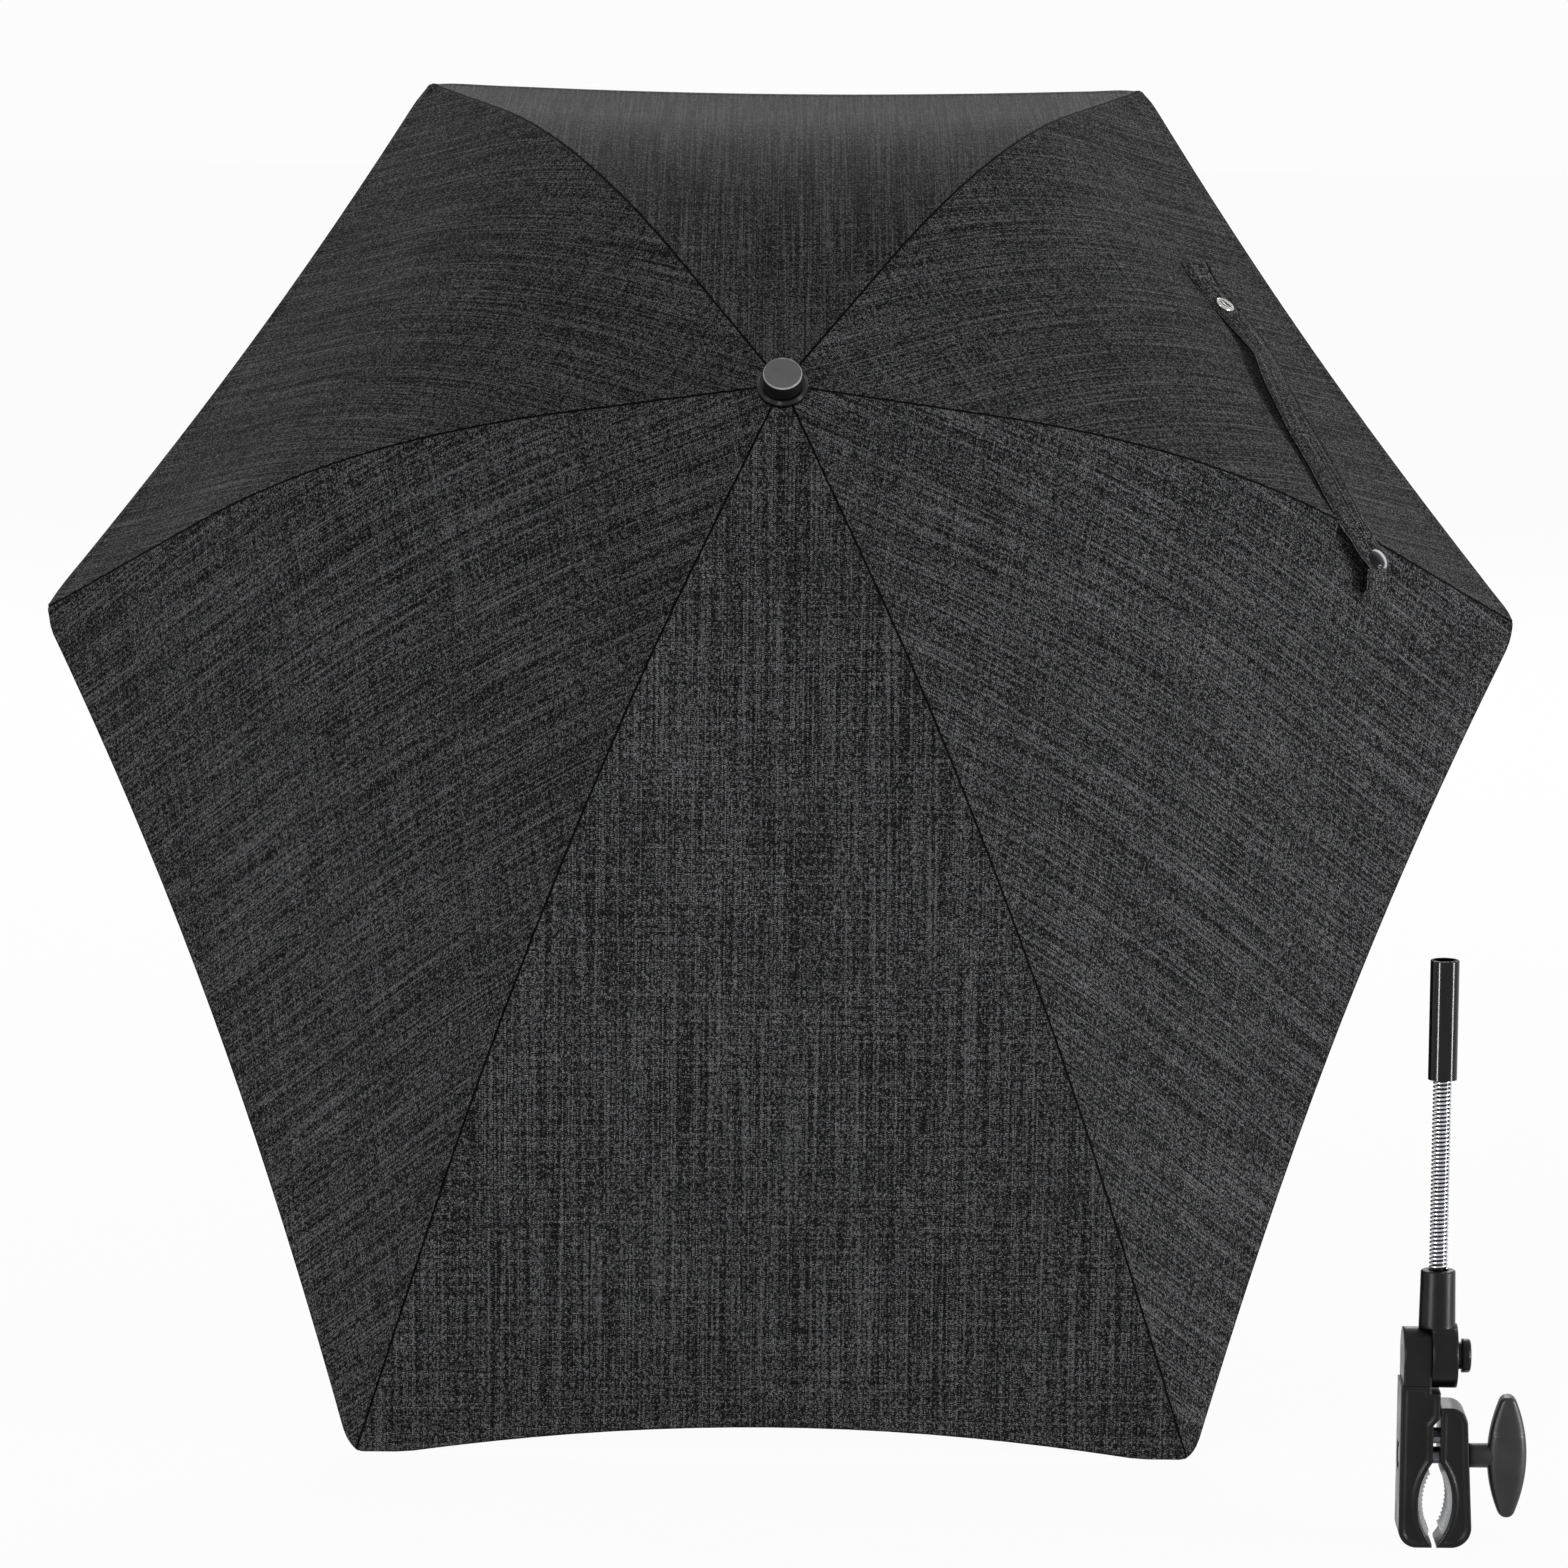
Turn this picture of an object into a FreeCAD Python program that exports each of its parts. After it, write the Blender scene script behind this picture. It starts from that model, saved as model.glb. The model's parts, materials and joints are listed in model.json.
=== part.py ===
import FreeCAD, Part
import math
import os

Vector = FreeCAD.Vector

# A pram parasol lying open on the floor, on its two front rib tips and the end of its shaft, with the
# clamp holder that carries it on a pram standing beside it. Lengths are in millimetres, angles in degrees.
# The parasol is drawn upright about the centre of its crown pivots, then leaned over onto the floor.

# Shaft
shaft_od = 11.0
shaft_wall = 1.2
shaft_length = 752.0
spigot_od = 10.0
spigot_length = 80.0
plug_stem_length = 14.0

# Clearances
running_clearance = 0.05
slide_clearance = 0.1
moving_gap = 0.3
slot_gap = 0.4
overrun = 1.0

# Crown and finial
pivot_radius = 10.0
hub_radius = 14.0
hub_depth = 9.0
hub_core_radius = 6.6
crown_gap = 0.9
pin_diameter = 2.0
pin_grip = 1.0
tube_top = 2.8
flange_radius = 12.7
flange_rim = 2.0
flange_shoulder = 1.4
flange_boss_radius = 5.8
cap_radius = 9.7
cap_height = 11.0
cap_edge_radius = 1.2
cap_spigot_length = 9.0

# Ribs: a straight run from the crown, a slight bend to the clip, a firmer bend and a straight outer run
rib_diameter = 3.2
rib_eye_radius = 1.9
rib_tip_radius = 1.9
inner_slope = 13.0
inner_run = 100.0
knee_radius = 450.0
knee_run = 65.0
bend_radii = {"front": 695.0, "side": 385.0, "back": 490.0}
outer_slopes = {"front": 44.0, "side": 43.0, "back": 40.5}
outer_runs = {"front": 118.0, "side": 107.0, "back": 112.0}
azimuths = {
    "side_right": 0.0,
    "back_right": 61.5,
    "back_left": 118.5,
    "side_left": 180.0,
    "front_left": 245.5,
    "front_right": 294.5,
}
fold_turn = 59.0

# Rib clips and stretchers
clip_length = 9.0
clip_width = 6.4
clip_shoulder = 0.5
clip_drop = 4.8
clip_skirt = 2.4
stretcher_diameter = 2.8
stretcher_eye_radius = 2.2
stretcher_eye_width = 3.0
tee_diameter = 2.4
tee_half_length = 2.7
tee_clearance = 0.15

# Runner and its catch
runner_head_radius = 13.5
runner_head_height = 8.0
runner_grip_radius = 12.0
runner_grip_length = 28.0
runner_floor_radius = 8.0
catch_azimuth = 90.0
catch_width = 3.0
catch_thickness = 0.8
catch_reach = 3.2
catch_land = 2.5
catch_ramp = 16.0
catch_tail = 24.0
catch_head = 4.0

# Canopy: six pieces of cloth, one over each rib, that meet at the middle of each gore
cloth_thickness = 0.8
cloth_gap = 0.3
cloth_seat_gap = 0.7
cloth_hole_radius = 7.4
hem_bow = 15.0
cloth_stations = 14
gore_shares = (0.0, 0.25, 0.5)

# Closing strap on the cloth, from the tab in front of the right seam to the free end behind it: share of
# the rib's length, then share of the way round to the back rib, or to the front rib where it is negative
strap_width = 15.0
strap_thickness = 1.1
strap_gap = 1.25
strap_steps = 6
strap_width_shares = (-0.5, -0.33, -0.17, 0.0, 0.17, 0.33, 0.5)
strap_slope_share = 0.001
strap_shares = (
    (0.797, -0.062),
    (0.776, -0.026),
    (0.731, 0.004),
    (0.753, 0.072),
    (0.772, 0.165),
    (0.812, 0.265),
    (0.838, 0.357),
    (0.850, 0.440),
    (0.848, 0.530),
    (0.826, 0.630),
)
snap_cap_shares = (0.776, -0.026)
snap_socket_shares = (0.846, 0.552)
snap_radius = 6.2
snap_rim = 0.8
snap_dome = 1.5
snap_socket_radius = 5.4
snap_socket_hole = 2.6
snap_socket_height = 1.4

# Holder: place beside the parasol
holder_beside = 309.0
holder_ahead = 165.0

# Holder jaws, seen from the front: the fixed jaw at the left and the moving jaw at the right
jaw_depth = 25.0
jaw_edge = 0.8
fixed_jaw_back = 16.8
fixed_jaw_corner = 8.5
moving_jaw_back = 17.2
moving_jaw_corner = 9.5
moving_jaw_hump = 8.0
moving_jaw_slant = 2.6
jaw_split = 1.6
jaw_waist = 1.4
jaw_lip = 1.1
jaw_lip_height = 1.5
moving_jaw_drop = 10.6
waist_drop = 8.4
waist_slant = 3.4
mouth_drop = 1.1
mouth_bow = 6.6
panel_inset = 2.6
panel_depth = 0.7
jaw_travel = 10.0
guide_pin_diameter = 4.0
guide_pin_drop = 7.0
guide_pin_spread = 8.0
guide_pin_seat = 9.0
guide_pin_hold = 1.5

# Toothed jaw pads
pad_thickness = 1.2
pad_tooth = 1.0
pad_teeth = 14
pad_width = 21.0
pad_foot = 4.5
pad_head = 4.0

# Clamp bolt, nut and wing knob
bolt_diameter = 8.0
bolt_drop = 9.4
nut_across = 13.0
nut_length = 6.5
nut_cover = 5.3
stem_diameter = 11.5
stem_length = 8.6
wing_width = 18.3
wing_span = 57.0
wing_end_width = 6.0
wing_thickness = 13.0
wing_edge = 2.0
wing_step = 0.8
wing_step_height = 11.0
bolt_in_wing = 9.0

# Tilting hinge above the jaws
hinge_height = 89.0
hinge_drop = 12.0
hinge_arm_gap = 0.5
hinge_base_left = 15.8
hinge_split = 2.9
hinge_arm_radius = 15.0
hinge_arm_right = 9.3
hinge_wall = 3.0
pivot_diameter = 5.0
pivot_head_radius = 5.0
pivot_head_length = 3.0
pivot_nut_radius = 3.8
pivot_nut_length = 2.2

# Release button
button_pocket_radius = 6.8
button_stem_radius = 6.4
button_cap_radius = 7.9
button_cap_length = 4.2
button_edge = 1.6
button_travel = 2.0
button_spring_wire = 0.5
button_spring_radius = 4.9
button_spring_turns = 2

# Arm sleeve, gooseneck and socket
sleeve_rise = 13.8
sleeve_length = 26.7
sleeve_bottom_radius = 8.6
sleeve_top_radius = 8.1
sleeve_edge = 0.8
gooseneck_length = 90.0
gooseneck_wire = 1.25
gooseneck_radius = 3.8
gooseneck_turns = 46
gooseneck_seat = 2.6
gooseneck_seat_radius = 4.7
core_diameter = 4.6
core_seat = 4.0
socket_od = 13.5
socket_bore = 10.2
socket_length = 56.0
socket_depth = 46.0
socket_edge = 0.6
spring_bend_share = 1.1

# Derived sizes of the parasol
shaft_radius = shaft_od / 2
shaft_bore_radius = shaft_radius - shaft_wall
spigot_radius = spigot_od / 2
rib_radius = rib_diameter / 2
rib_slot_width = rib_diameter + 2 * moving_gap
pin_length = rib_slot_width + 2 * pin_grip
cloth_lift = rib_radius + cloth_seat_gap + cloth_thickness

# Heights of the holder above its foot, from the tilting hinge down to the jaws and up to the gooseneck
fixed_jaw_top = hinge_height - hinge_drop
fixed_jaw_step = hinge_height - hinge_arm_radius - hinge_arm_gap
moving_jaw_top = fixed_jaw_top - moving_jaw_drop
waist_top = moving_jaw_top - waist_drop
guide_pin_height = waist_top - guide_pin_drop
bolt_height = guide_pin_height - bolt_drop
mouth_top = bolt_height - mouth_drop
pad_low = jaw_lip_height + pad_foot
pad_high = mouth_top - pad_head
sleeve_bottom = hinge_height + sleeve_rise
sleeve_top = sleeve_bottom + sleeve_length
hinge_base_radius = sleeve_rise - slot_gap


def turn(shape, axis, angle, centre=Vector(0, 0, 0)):
    copy = shape.copy()
    copy.rotate(centre, axis, angle)
    return copy


def move(shape, x, y, z):
    copy = shape.copy()
    copy.translate(Vector(x, y, z))
    return copy


def cylinder(radius, low, high):
    return Part.makeCylinder(radius, high - low, Vector(0, 0, low))


def cylinder_along_x(radius, left, right, y, z):
    return Part.makeCylinder(radius, right - left, Vector(left, y, z), Vector(1, 0, 0))


def cylinder_along_y(radius, half_length, x, z):
    return Part.makeCylinder(radius, 2 * half_length, Vector(x, -half_length, z), Vector(0, 1, 0))


def box(left, right, half_depth, low, high):
    return Part.makeBox(right - left, 2 * half_depth, high - low, Vector(left, -half_depth, low))


def rounded_top(solid, radius):
    top = solid.BoundBox.ZMax
    return solid.makeFillet(radius, [edge for edge in solid.Edges if edge.BoundBox.ZMin > top - radius / 2])


def face_xz(points):
    corners = [Vector(x, 0, z) for x, z in points]
    return Part.Face(Part.makePolygon(corners + corners[:1]))


def revolved(points):
    return face_xz(points).revolve(Vector(0, 0, 0), Vector(0, 0, 1), 360)


def slab(face, half_depth):
    return move(face, 0, -half_depth, 0).extrude(Vector(0, 2 * half_depth, 0))


def line_edge(start, end):
    return Part.LineSegment(start, end).toShape()


def arc_edge(start, middle, end):
    return Part.Arc(start, middle, end).toShape()


# Shape of the ribs


def rib_kind(name):
    return name.split("_")[0]


def rib_segments(kind):
    knee_turn = knee_run / knee_radius
    bend_turn = math.radians(outer_slopes[kind] - inner_slope) - knee_turn
    return (
        (inner_run, None),
        (knee_run, knee_radius),
        (bend_radii[kind] * bend_turn, bend_radii[kind]),
        (outer_runs[kind], None),
    )


def rib_length(kind):
    return sum(length for length, radius in rib_segments(kind))


def rib_at(kind, run):
    # Distance from the shaft, height above the crown pivots and downward slope after a run along the rib
    across, height, slope = pivot_radius, 0.0, math.radians(inner_slope)
    for length, radius in rib_segments(kind):
        step = min(run, length)
        run -= step
        if radius is None:
            across += step * math.cos(slope)
            height -= step * math.sin(slope)
        else:
            next_slope = slope + step / radius
            across += radius * (math.sin(next_slope) - math.sin(slope))
            height -= radius * (math.cos(slope) - math.cos(next_slope))
            slope = next_slope
    return across, height, slope


def rib_wire(kind):
    edges = []
    start = 0.0
    for length, radius in rib_segments(kind):
        points = []
        for run in (start, start + length / 2, start + length):
            across, height, slope = rib_at(kind, run)
            points.append(Vector(across, 0, height))
        edges.append(line_edge(points[0], points[2]) if radius is None else arc_edge(*points))
        start += length
    return Part.Wire(edges)


clip_run = inner_run + knee_run
clip_across, clip_height, clip_slope = rib_at("side", clip_run)
clip_pivot = Vector(
    clip_across - clip_drop * math.sin(clip_slope),
    0,
    clip_height - clip_drop * math.cos(clip_slope),
)
clip_pivot_slope = math.degrees(math.atan2(-clip_pivot.z, clip_pivot.x - pivot_radius))
stretcher_length = math.hypot(clip_pivot.x - pivot_radius, clip_pivot.z)

# The stretcher is as long as the rib from crown to clip, so the runner's pivots stay on the crown's circle
runner_pivot_height = -2 * stretcher_length * math.sin(math.radians(clip_pivot_slope))
runner_folded_height = -2 * stretcher_length * math.sin(math.radians(clip_pivot_slope + fold_turn))
runner_travel = runner_pivot_height - runner_folded_height
catch_top = runner_pivot_height - runner_grip_length - moving_gap

# The floor touches the two front tips and the round shaft end
front_across, front_height, front_slope = rib_at("front", rib_length("front"))
front_tip_y = front_across * math.sin(math.radians(azimuths["front_right"]))
span_y = -front_tip_y
span_z = shaft_length + front_height
floor_slope = math.atan2(span_z, span_y)
radius_slope = math.asin((spigot_radius - rib_tip_radius) / math.hypot(span_y, span_z))
lean = math.degrees(floor_slope + radius_slope)


def rib(kind):
    path = rib_wire(kind)
    start_slope = math.radians(inner_slope)
    direction = Vector(math.cos(start_slope), 0, -math.sin(start_slope))
    section = Part.Wire(Part.Circle(Vector(pivot_radius, 0, 0), direction, rib_radius).toShape())
    rod = path.makePipeShell([section], True, False)
    eye = cylinder_along_y(rib_eye_radius, rib_radius, pivot_radius, 0)
    across, height, slope = rib_at(kind, rib_length(kind))
    tip = Part.makeSphere(rib_tip_radius, Vector(across, 0, height))
    bore = cylinder_along_y(pin_diameter / 2 + running_clearance, rib_diameter, pivot_radius, 0)
    return rod.fuse([eye, tip]).cut(bore)


def rib_clip():
    half_width = clip_width / 2
    slot_half_width = stretcher_eye_width / 2 + moving_gap
    skirt = clip_drop + clip_skirt
    body = box(-clip_length / 2, clip_length / 2, half_width, -skirt, clip_shoulder)
    rib_seat = cylinder_along_x(rib_radius + running_clearance, -clip_length, clip_length, 0, 0)
    slot_top = -clip_drop + stretcher_eye_radius + moving_gap
    slot = box(-clip_length, clip_length, slot_half_width, -skirt - overrun, slot_top)
    rivet = cylinder_along_y(pin_diameter / 2, half_width, 0, -clip_drop)
    clip = body.cut(slot).cut(rib_seat).fuse(rivet)
    clip = turn(clip, Vector(0, 1, 0), math.degrees(clip_slope))
    return move(clip, clip_across, 0, clip_height)


def stretcher():
    foot = Vector(pivot_radius, 0, runner_pivot_height)
    rod = Part.makeCylinder(stretcher_diameter / 2, stretcher_length, foot, clip_pivot - foot)
    eye = cylinder_along_y(stretcher_eye_radius, stretcher_eye_width / 2, clip_pivot.x, clip_pivot.z)
    tee = cylinder_along_y(tee_diameter / 2, tee_half_length, foot.x, foot.z)
    bore_radius = pin_diameter / 2 + running_clearance
    bore = cylinder_along_y(bore_radius, stretcher_eye_width, clip_pivot.x, clip_pivot.z)
    return rod.fuse([eye, tee]).cut(bore)


# Shaft, crown and finial


def cloth_top(across):
    slope = math.radians(inner_slope)
    return (pivot_radius - across) * math.tan(slope) + cloth_lift / math.cos(slope)


def shaft_tube():
    end = -shaft_length
    shoulder = end + spigot_length
    outer = revolved(
        [(0, end), (spigot_radius, end), (spigot_radius, shoulder), (shaft_radius, shoulder),
         (shaft_radius, tube_top), (0, tube_top)]
    )
    bore = cylinder(shaft_bore_radius, end - overrun, tube_top + overrun)
    window_low = catch_top - catch_ramp - moving_gap
    window = box(0, shaft_od, catch_width / 2 + moving_gap, window_low, catch_top + moving_gap)
    window = turn(window, Vector(0, 0, 1), catch_azimuth)
    return outer.cut(bore).cut(window)


def shaft_end_plug():
    end = -shaft_length
    dome = Part.makeSphere(spigot_radius, Vector(0, 0, end)).common(
        cylinder(spigot_radius + overrun, end - spigot_radius - overrun, end)
    )
    stem = cylinder(shaft_bore_radius - running_clearance, end, end + plug_stem_length)
    return dome.fuse(stem)


def crown_hub():
    top_centre = cloth_top(0) - cloth_thickness - crown_gap
    top_edge = cloth_top(hub_radius) - cloth_thickness - crown_gap
    hub = revolved([(0, -hub_depth), (hub_radius, -hub_depth), (hub_radius, top_edge), (0, top_centre)])
    hub = hub.cut(cylinder(shaft_radius + running_clearance, -hub_depth - overrun, top_centre + overrun))
    slot = box(hub_core_radius, hub_radius + overrun, rib_slot_width / 2, -hub_depth - overrun, top_centre)
    pin_hole = cylinder_along_y(pin_diameter / 2 + running_clearance, pin_length / 2, pivot_radius, 0)
    for azimuth in azimuths.values():
        hub = hub.cut(turn(slot.fuse(pin_hole), Vector(0, 0, 1), azimuth))
    return hub


def crown_pins():
    pin = cylinder_along_y(pin_diameter / 2, pin_length / 2 - running_clearance, pivot_radius, 0)
    return Part.makeCompound([turn(pin, Vector(0, 0, 1), azimuth) for azimuth in azimuths.values()])


def flange_under(across):
    return cloth_top(across) + moving_gap


def flange_top():
    return flange_under(flange_boss_radius) + flange_rim


def finial_flange():
    rim_low = flange_under(flange_radius)
    top = flange_top()
    shoulder = flange_radius - flange_shoulder
    profile = [
        (0, tube_top),
        (flange_boss_radius, tube_top),
        (flange_boss_radius, flange_under(flange_boss_radius)),
        (flange_radius, rim_low),
        (flange_radius, top - flange_shoulder),
        (shoulder, top),
        (0, top),
    ]
    bore = cylinder(shaft_bore_radius, tube_top - overrun, top + overrun)
    return revolved(profile).cut(bore)


def finial_cap():
    low = flange_top()
    cap = rounded_top(cylinder(cap_radius, low, low + cap_height), cap_edge_radius)
    spigot = cylinder(shaft_bore_radius - running_clearance, low - cap_spigot_length, low)
    return cap.fuse(spigot)


# Runner and catch


def runner_body():
    level = runner_pivot_height
    bottom = level - runner_grip_length
    top = level + runner_head_height
    head = cylinder(runner_head_radius, level, top)
    grip = cylinder(runner_grip_radius, bottom, level)
    body = head.fuse(grip).cut(cylinder(shaft_radius + slide_clearance, bottom - overrun, top + overrun))
    outside = runner_head_radius + overrun
    slot_half = stretcher_diameter / 2 + slot_gap
    groove_half = tee_half_length + slot_gap
    slot = box(runner_floor_radius, outside, slot_half, level, top + overrun)
    groove = box(runner_floor_radius, outside, groove_half, bottom - overrun, level)
    notch = cylinder_along_y(tee_diameter / 2 + tee_clearance, groove_half, pivot_radius, level)
    cutter = slot.fuse([groove, notch])
    for azimuth in azimuths.values():
        body = body.cut(turn(cutter, Vector(0, 0, 1), azimuth))
    return body.removeSplitter()


def catch_leaf():
    outer = shaft_bore_radius - moving_gap
    inner = outer - catch_thickness
    nose = shaft_radius + catch_reach
    ramp_end = catch_top - catch_ramp
    profile = [
        (inner, catch_top + catch_head),
        (outer, catch_top + catch_head),
        (outer, catch_top),
        (nose, catch_top),
        (nose, catch_top - catch_land),
        (outer, ramp_end),
        (outer, ramp_end - catch_tail),
        (inner, ramp_end - catch_tail),
    ]
    leaf = slab(face_xz(profile), catch_width / 2)
    return turn(leaf, Vector(0, 0, 1), catch_azimuth)


# Canopy cloth


def around(name, step):
    names = list(azimuths)
    return names[(names.index(name) + step) % len(names)]


def cloth_on_rib(name, share):
    # Point on the cloth's outer face along a rib's seam, with the cloth's outward direction there
    kind = rib_kind(name)
    start = -(pivot_radius - cloth_hole_radius) / math.cos(math.radians(inner_slope))
    across, height, slope = rib_at(kind, start + share * (rib_length(kind) - start))
    outward = Vector(math.sin(slope), 0, math.cos(slope))
    point = Vector(across, 0, height) + outward * cloth_lift
    spin = FreeCAD.Rotation(Vector(0, 0, 1), azimuths[name])
    return spin.multVec(point), spin.multVec(outward)


def cloth_at(name, neighbour, share, across_share):
    # Point on the straight line between two seams; the hem is drawn in towards the middle of the gore
    gore_length = (rib_length(rib_kind(name)) + rib_length(rib_kind(neighbour))) / 2
    bow_share = hem_bow / gore_length * 4 * across_share * (1 - across_share)
    own, own_out = cloth_on_rib(name, share * (1 - bow_share))
    other, other_out = cloth_on_rib(neighbour, share * (1 - bow_share))
    outward = own_out * (1 - across_share) + other_out * across_share
    return own * (1 - across_share) + other * across_share, outward.normalize()


def skinned(sections):
    # Closed solid through sections, each a row of outer points and the row of inner points under it
    def panel(a, b, c, d):
        return [(a, b, c), (a, c, d)]

    triangles = []
    for (outer, inner), (next_outer, next_inner) in zip(sections, sections[1:]):
        for i in range(len(outer) - 1):
            triangles += panel(outer[i], outer[i + 1], next_outer[i + 1], next_outer[i])
            triangles += panel(inner[i], inner[i + 1], next_inner[i + 1], next_inner[i])
        for i in (0, -1):
            triangles += panel(outer[i], next_outer[i], next_inner[i], inner[i])
    for outer, inner in (sections[0], sections[-1]):
        for i in range(len(outer) - 1):
            triangles += panel(outer[i], outer[i + 1], inner[i + 1], inner[i])
    faces = [Part.Face(Part.makePolygon([a, b, c, a])) for a, b, c in triangles]
    shell = Part.makeShell(faces)
    shell.sewShape()
    solid = Part.makeSolid(Part.Shell(shell.Faces))
    if solid.Volume < 0:
        solid.reverse()
    return solid


def canopy_piece(name):
    sections = []
    for station in range(cloth_stations + 1):
        share = station / cloth_stations
        outer = []
        inner = []
        for neighbour, shares in ((around(name, 1), gore_shares[:0:-1]), (around(name, -1), gore_shares)):
            for across_share in shares:
                point, outward = cloth_at(name, neighbour, share, across_share)
                if across_share == gore_shares[-1]:
                    ridge, ridge_out = cloth_at(name, neighbour, share, 0)
                    point = point + (ridge - point).normalize() * (cloth_gap / 2)
                outer.append(point)
                inner.append(point - outward * cloth_thickness)
        sections.append((outer, inner))
    return skinned(sections)


# Strap and snaps on the cloth


def strap_point(share, across_share):
    neighbour = "back_right" if across_share >= 0 else "front_right"
    point, outward = cloth_at("side_right", neighbour, share, abs(across_share))
    return point + outward * strap_gap, outward


def strap_route():
    # Shares along the middle of the strap, with even steps between the listed ones
    route = []
    for start, end in zip(strap_shares, strap_shares[1:]):
        for step in range(strap_steps):
            route.append([a + (b - a) * step / strap_steps for a, b in zip(start, end)])
    return route + [strap_shares[-1]]


def strap_slopes(share, across_share):
    # How the point on the strap moves with each of its two shares
    point, outward = strap_point(share, across_share)
    step = strap_slope_share
    along = (strap_point(share + step, across_share)[0] - point) * (1 / step)
    round_way = (strap_point(share, across_share + step)[0] - point) * (1 / step)
    return along, round_way, along.cross(round_way)


def strap_row(share, across_share, way):
    # Points across the strap where it runs along the given direction, each laid on the cloth
    along, round_way, normal = strap_slopes(share, across_share)
    side = way.cross(normal).normalize() * strap_width
    along_side = side.cross(round_way).dot(normal) / normal.dot(normal)
    round_side = along.cross(side).dot(normal) / normal.dot(normal)
    return [strap_point(share + w * along_side, across_share + w * round_side) for w in strap_width_shares]


def strap():
    route = strap_route()
    middles = [strap_point(*shares)[0] for shares in route]
    sections = []
    for i, shares in enumerate(route):
        way = middles[min(i + 1, len(route) - 1)] - middles[max(i - 1, 0)]
        row = strap_row(*shares, way)
        low = [point for point, outward in row]
        high = [point + outward * strap_thickness for point, outward in row]
        sections.append((high, low))
    return skinned(sections)


def on_strap(shape, shares):
    point, outward = strap_point(*shares)
    along, round_way, normal = strap_slopes(*shares)
    upward = normal.normalize()
    seat = point + upward * (strap_thickness + moving_gap)
    place = FreeCAD.Placement(seat, FreeCAD.Rotation(Vector(0, 0, 1), upward))
    return shape.transformed(place.toMatrix())


def snap_cap():
    rim = cylinder(snap_radius, 0, snap_rim)
    ball_radius = (snap_radius ** 2 + snap_dome ** 2) / (2 * snap_dome)
    ball_centre = snap_rim + snap_dome - ball_radius
    dome = Part.makeSphere(ball_radius, Vector(0, 0, ball_centre)).common(
        cylinder(snap_radius, snap_rim, ball_centre + ball_radius + overrun)
    )
    return on_strap(rim.fuse(dome), snap_cap_shares)


def snap_socket():
    ring = cylinder(snap_socket_radius, 0, snap_socket_height)
    ring = ring.cut(cylinder(snap_socket_hole, -overrun, snap_socket_height + overrun))
    return on_strap(ring, snap_socket_shares)


# Wound springs


def biarc(start, start_way, end, end_way):
    # Two arcs from start to end that leave and arrive along the given directions
    chord = end - start
    ways = start_way + end_way
    spread = 2 * (1 - start_way.dot(end_way))
    reach = (math.sqrt(chord.dot(ways) ** 2 + spread * chord.dot(chord)) - chord.dot(ways)) / spread
    first = start + start_way * reach
    second = end - end_way * reach
    joint = (first + second) * 0.5
    edges = []
    for a, corner, b in ((start, first, joint), (joint, second, end)):
        middle = (a + b) * 0.5
        half = (b - a).Length / 2
        rise = half * math.tan(math.acos(half / reach) / 2)
        edges.append(arc_edge(a, middle + (corner - middle).normalize() * rise, b))
    return edges


def least_gap(path, wire, turn_length):
    # Least gap between the coil's own turns, on points half a wire apart
    step = wire / 2
    points = path.discretize(Distance=step)
    half_turn = int(turn_length / 2 / step)
    gaps = []
    for i, point in enumerate(points):
        gaps += [(point - other).Length for other in points[i + half_turn : i + 4 * half_turn]]
    return min(gaps) - wire


def spring(radius, wire, turns, length, label):
    # Coil along Z from 0 to length, whose ends turn to run straight into their seats
    leg = wire
    bend = wire * spring_bend_share
    half_turns = 2 * turns
    climb = math.atan2(length - 2 * (leg + bend), 2 * math.pi * radius * turns)
    low = leg + bend * math.cos(climb)
    rise = (length - 2 * low) / half_turns

    def coil(step):
        angle = math.pi * step
        point = Vector(radius * math.cos(angle), radius * math.sin(angle), low + rise * step)
        slope = math.atan2(rise, math.pi * radius)
        way = Vector(-math.sin(angle) * math.cos(slope), math.cos(angle) * math.cos(slope), math.sin(slope))
        return point, way

    edges = []
    up = Vector(0, 0, 1)
    point, way = coil(0)
    bottom = Vector(point.x, point.y, 0) - Vector(way.x, way.y, 0).normalize() * bend * (1 - way.z)
    edges.append(line_edge(bottom, bottom + up * leg))
    edges += biarc(bottom + up * leg, up, point, way)
    for step in range(half_turns):
        start, start_way = coil(step)
        end, end_way = coil(step + 1)
        edges += biarc(start, start_way, end, end_way)
    point, way = coil(half_turns)
    top = Vector(point.x, point.y, length) + Vector(way.x, way.y, 0).normalize() * bend * (1 - way.z)
    edges += biarc(point, way, top - up * leg, up)
    edges.append(line_edge(top - up * leg, top))
    section = Part.Wire(Part.Circle(bottom, up, wire / 2).toShape())
    path = Part.Wire(edges)
    coil_solid = path.makePipeShell([section], True, False)
    gap = least_gap(path, wire, 2 * math.pi * radius)
    expected = math.pi * (wire / 2) ** 2 * path.Length
    print(label, "least gap", round(gap, 3), "volume share", round(coil_solid.Volume / expected, 4))
    return coil_solid


# Holder jaws


def mouth_arc(lip_x, waist_x, bow, outward):
    low = Vector(lip_x, 0, jaw_lip_height)
    high = Vector(waist_x, 0, mouth_top)
    middle = (low + high) * 0.5 + Vector(outward * bow, 0, 0)
    return low, middle, high


def corner_arc(centre_x, centre_z, radius, start_angle, end_angle):
    points = []
    for angle in (start_angle, (start_angle + end_angle) / 2, end_angle):
        way = math.radians(angle)
        points.append(Vector(centre_x + radius * math.cos(way), 0, centre_z + radius * math.sin(way)))
    return points


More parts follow.
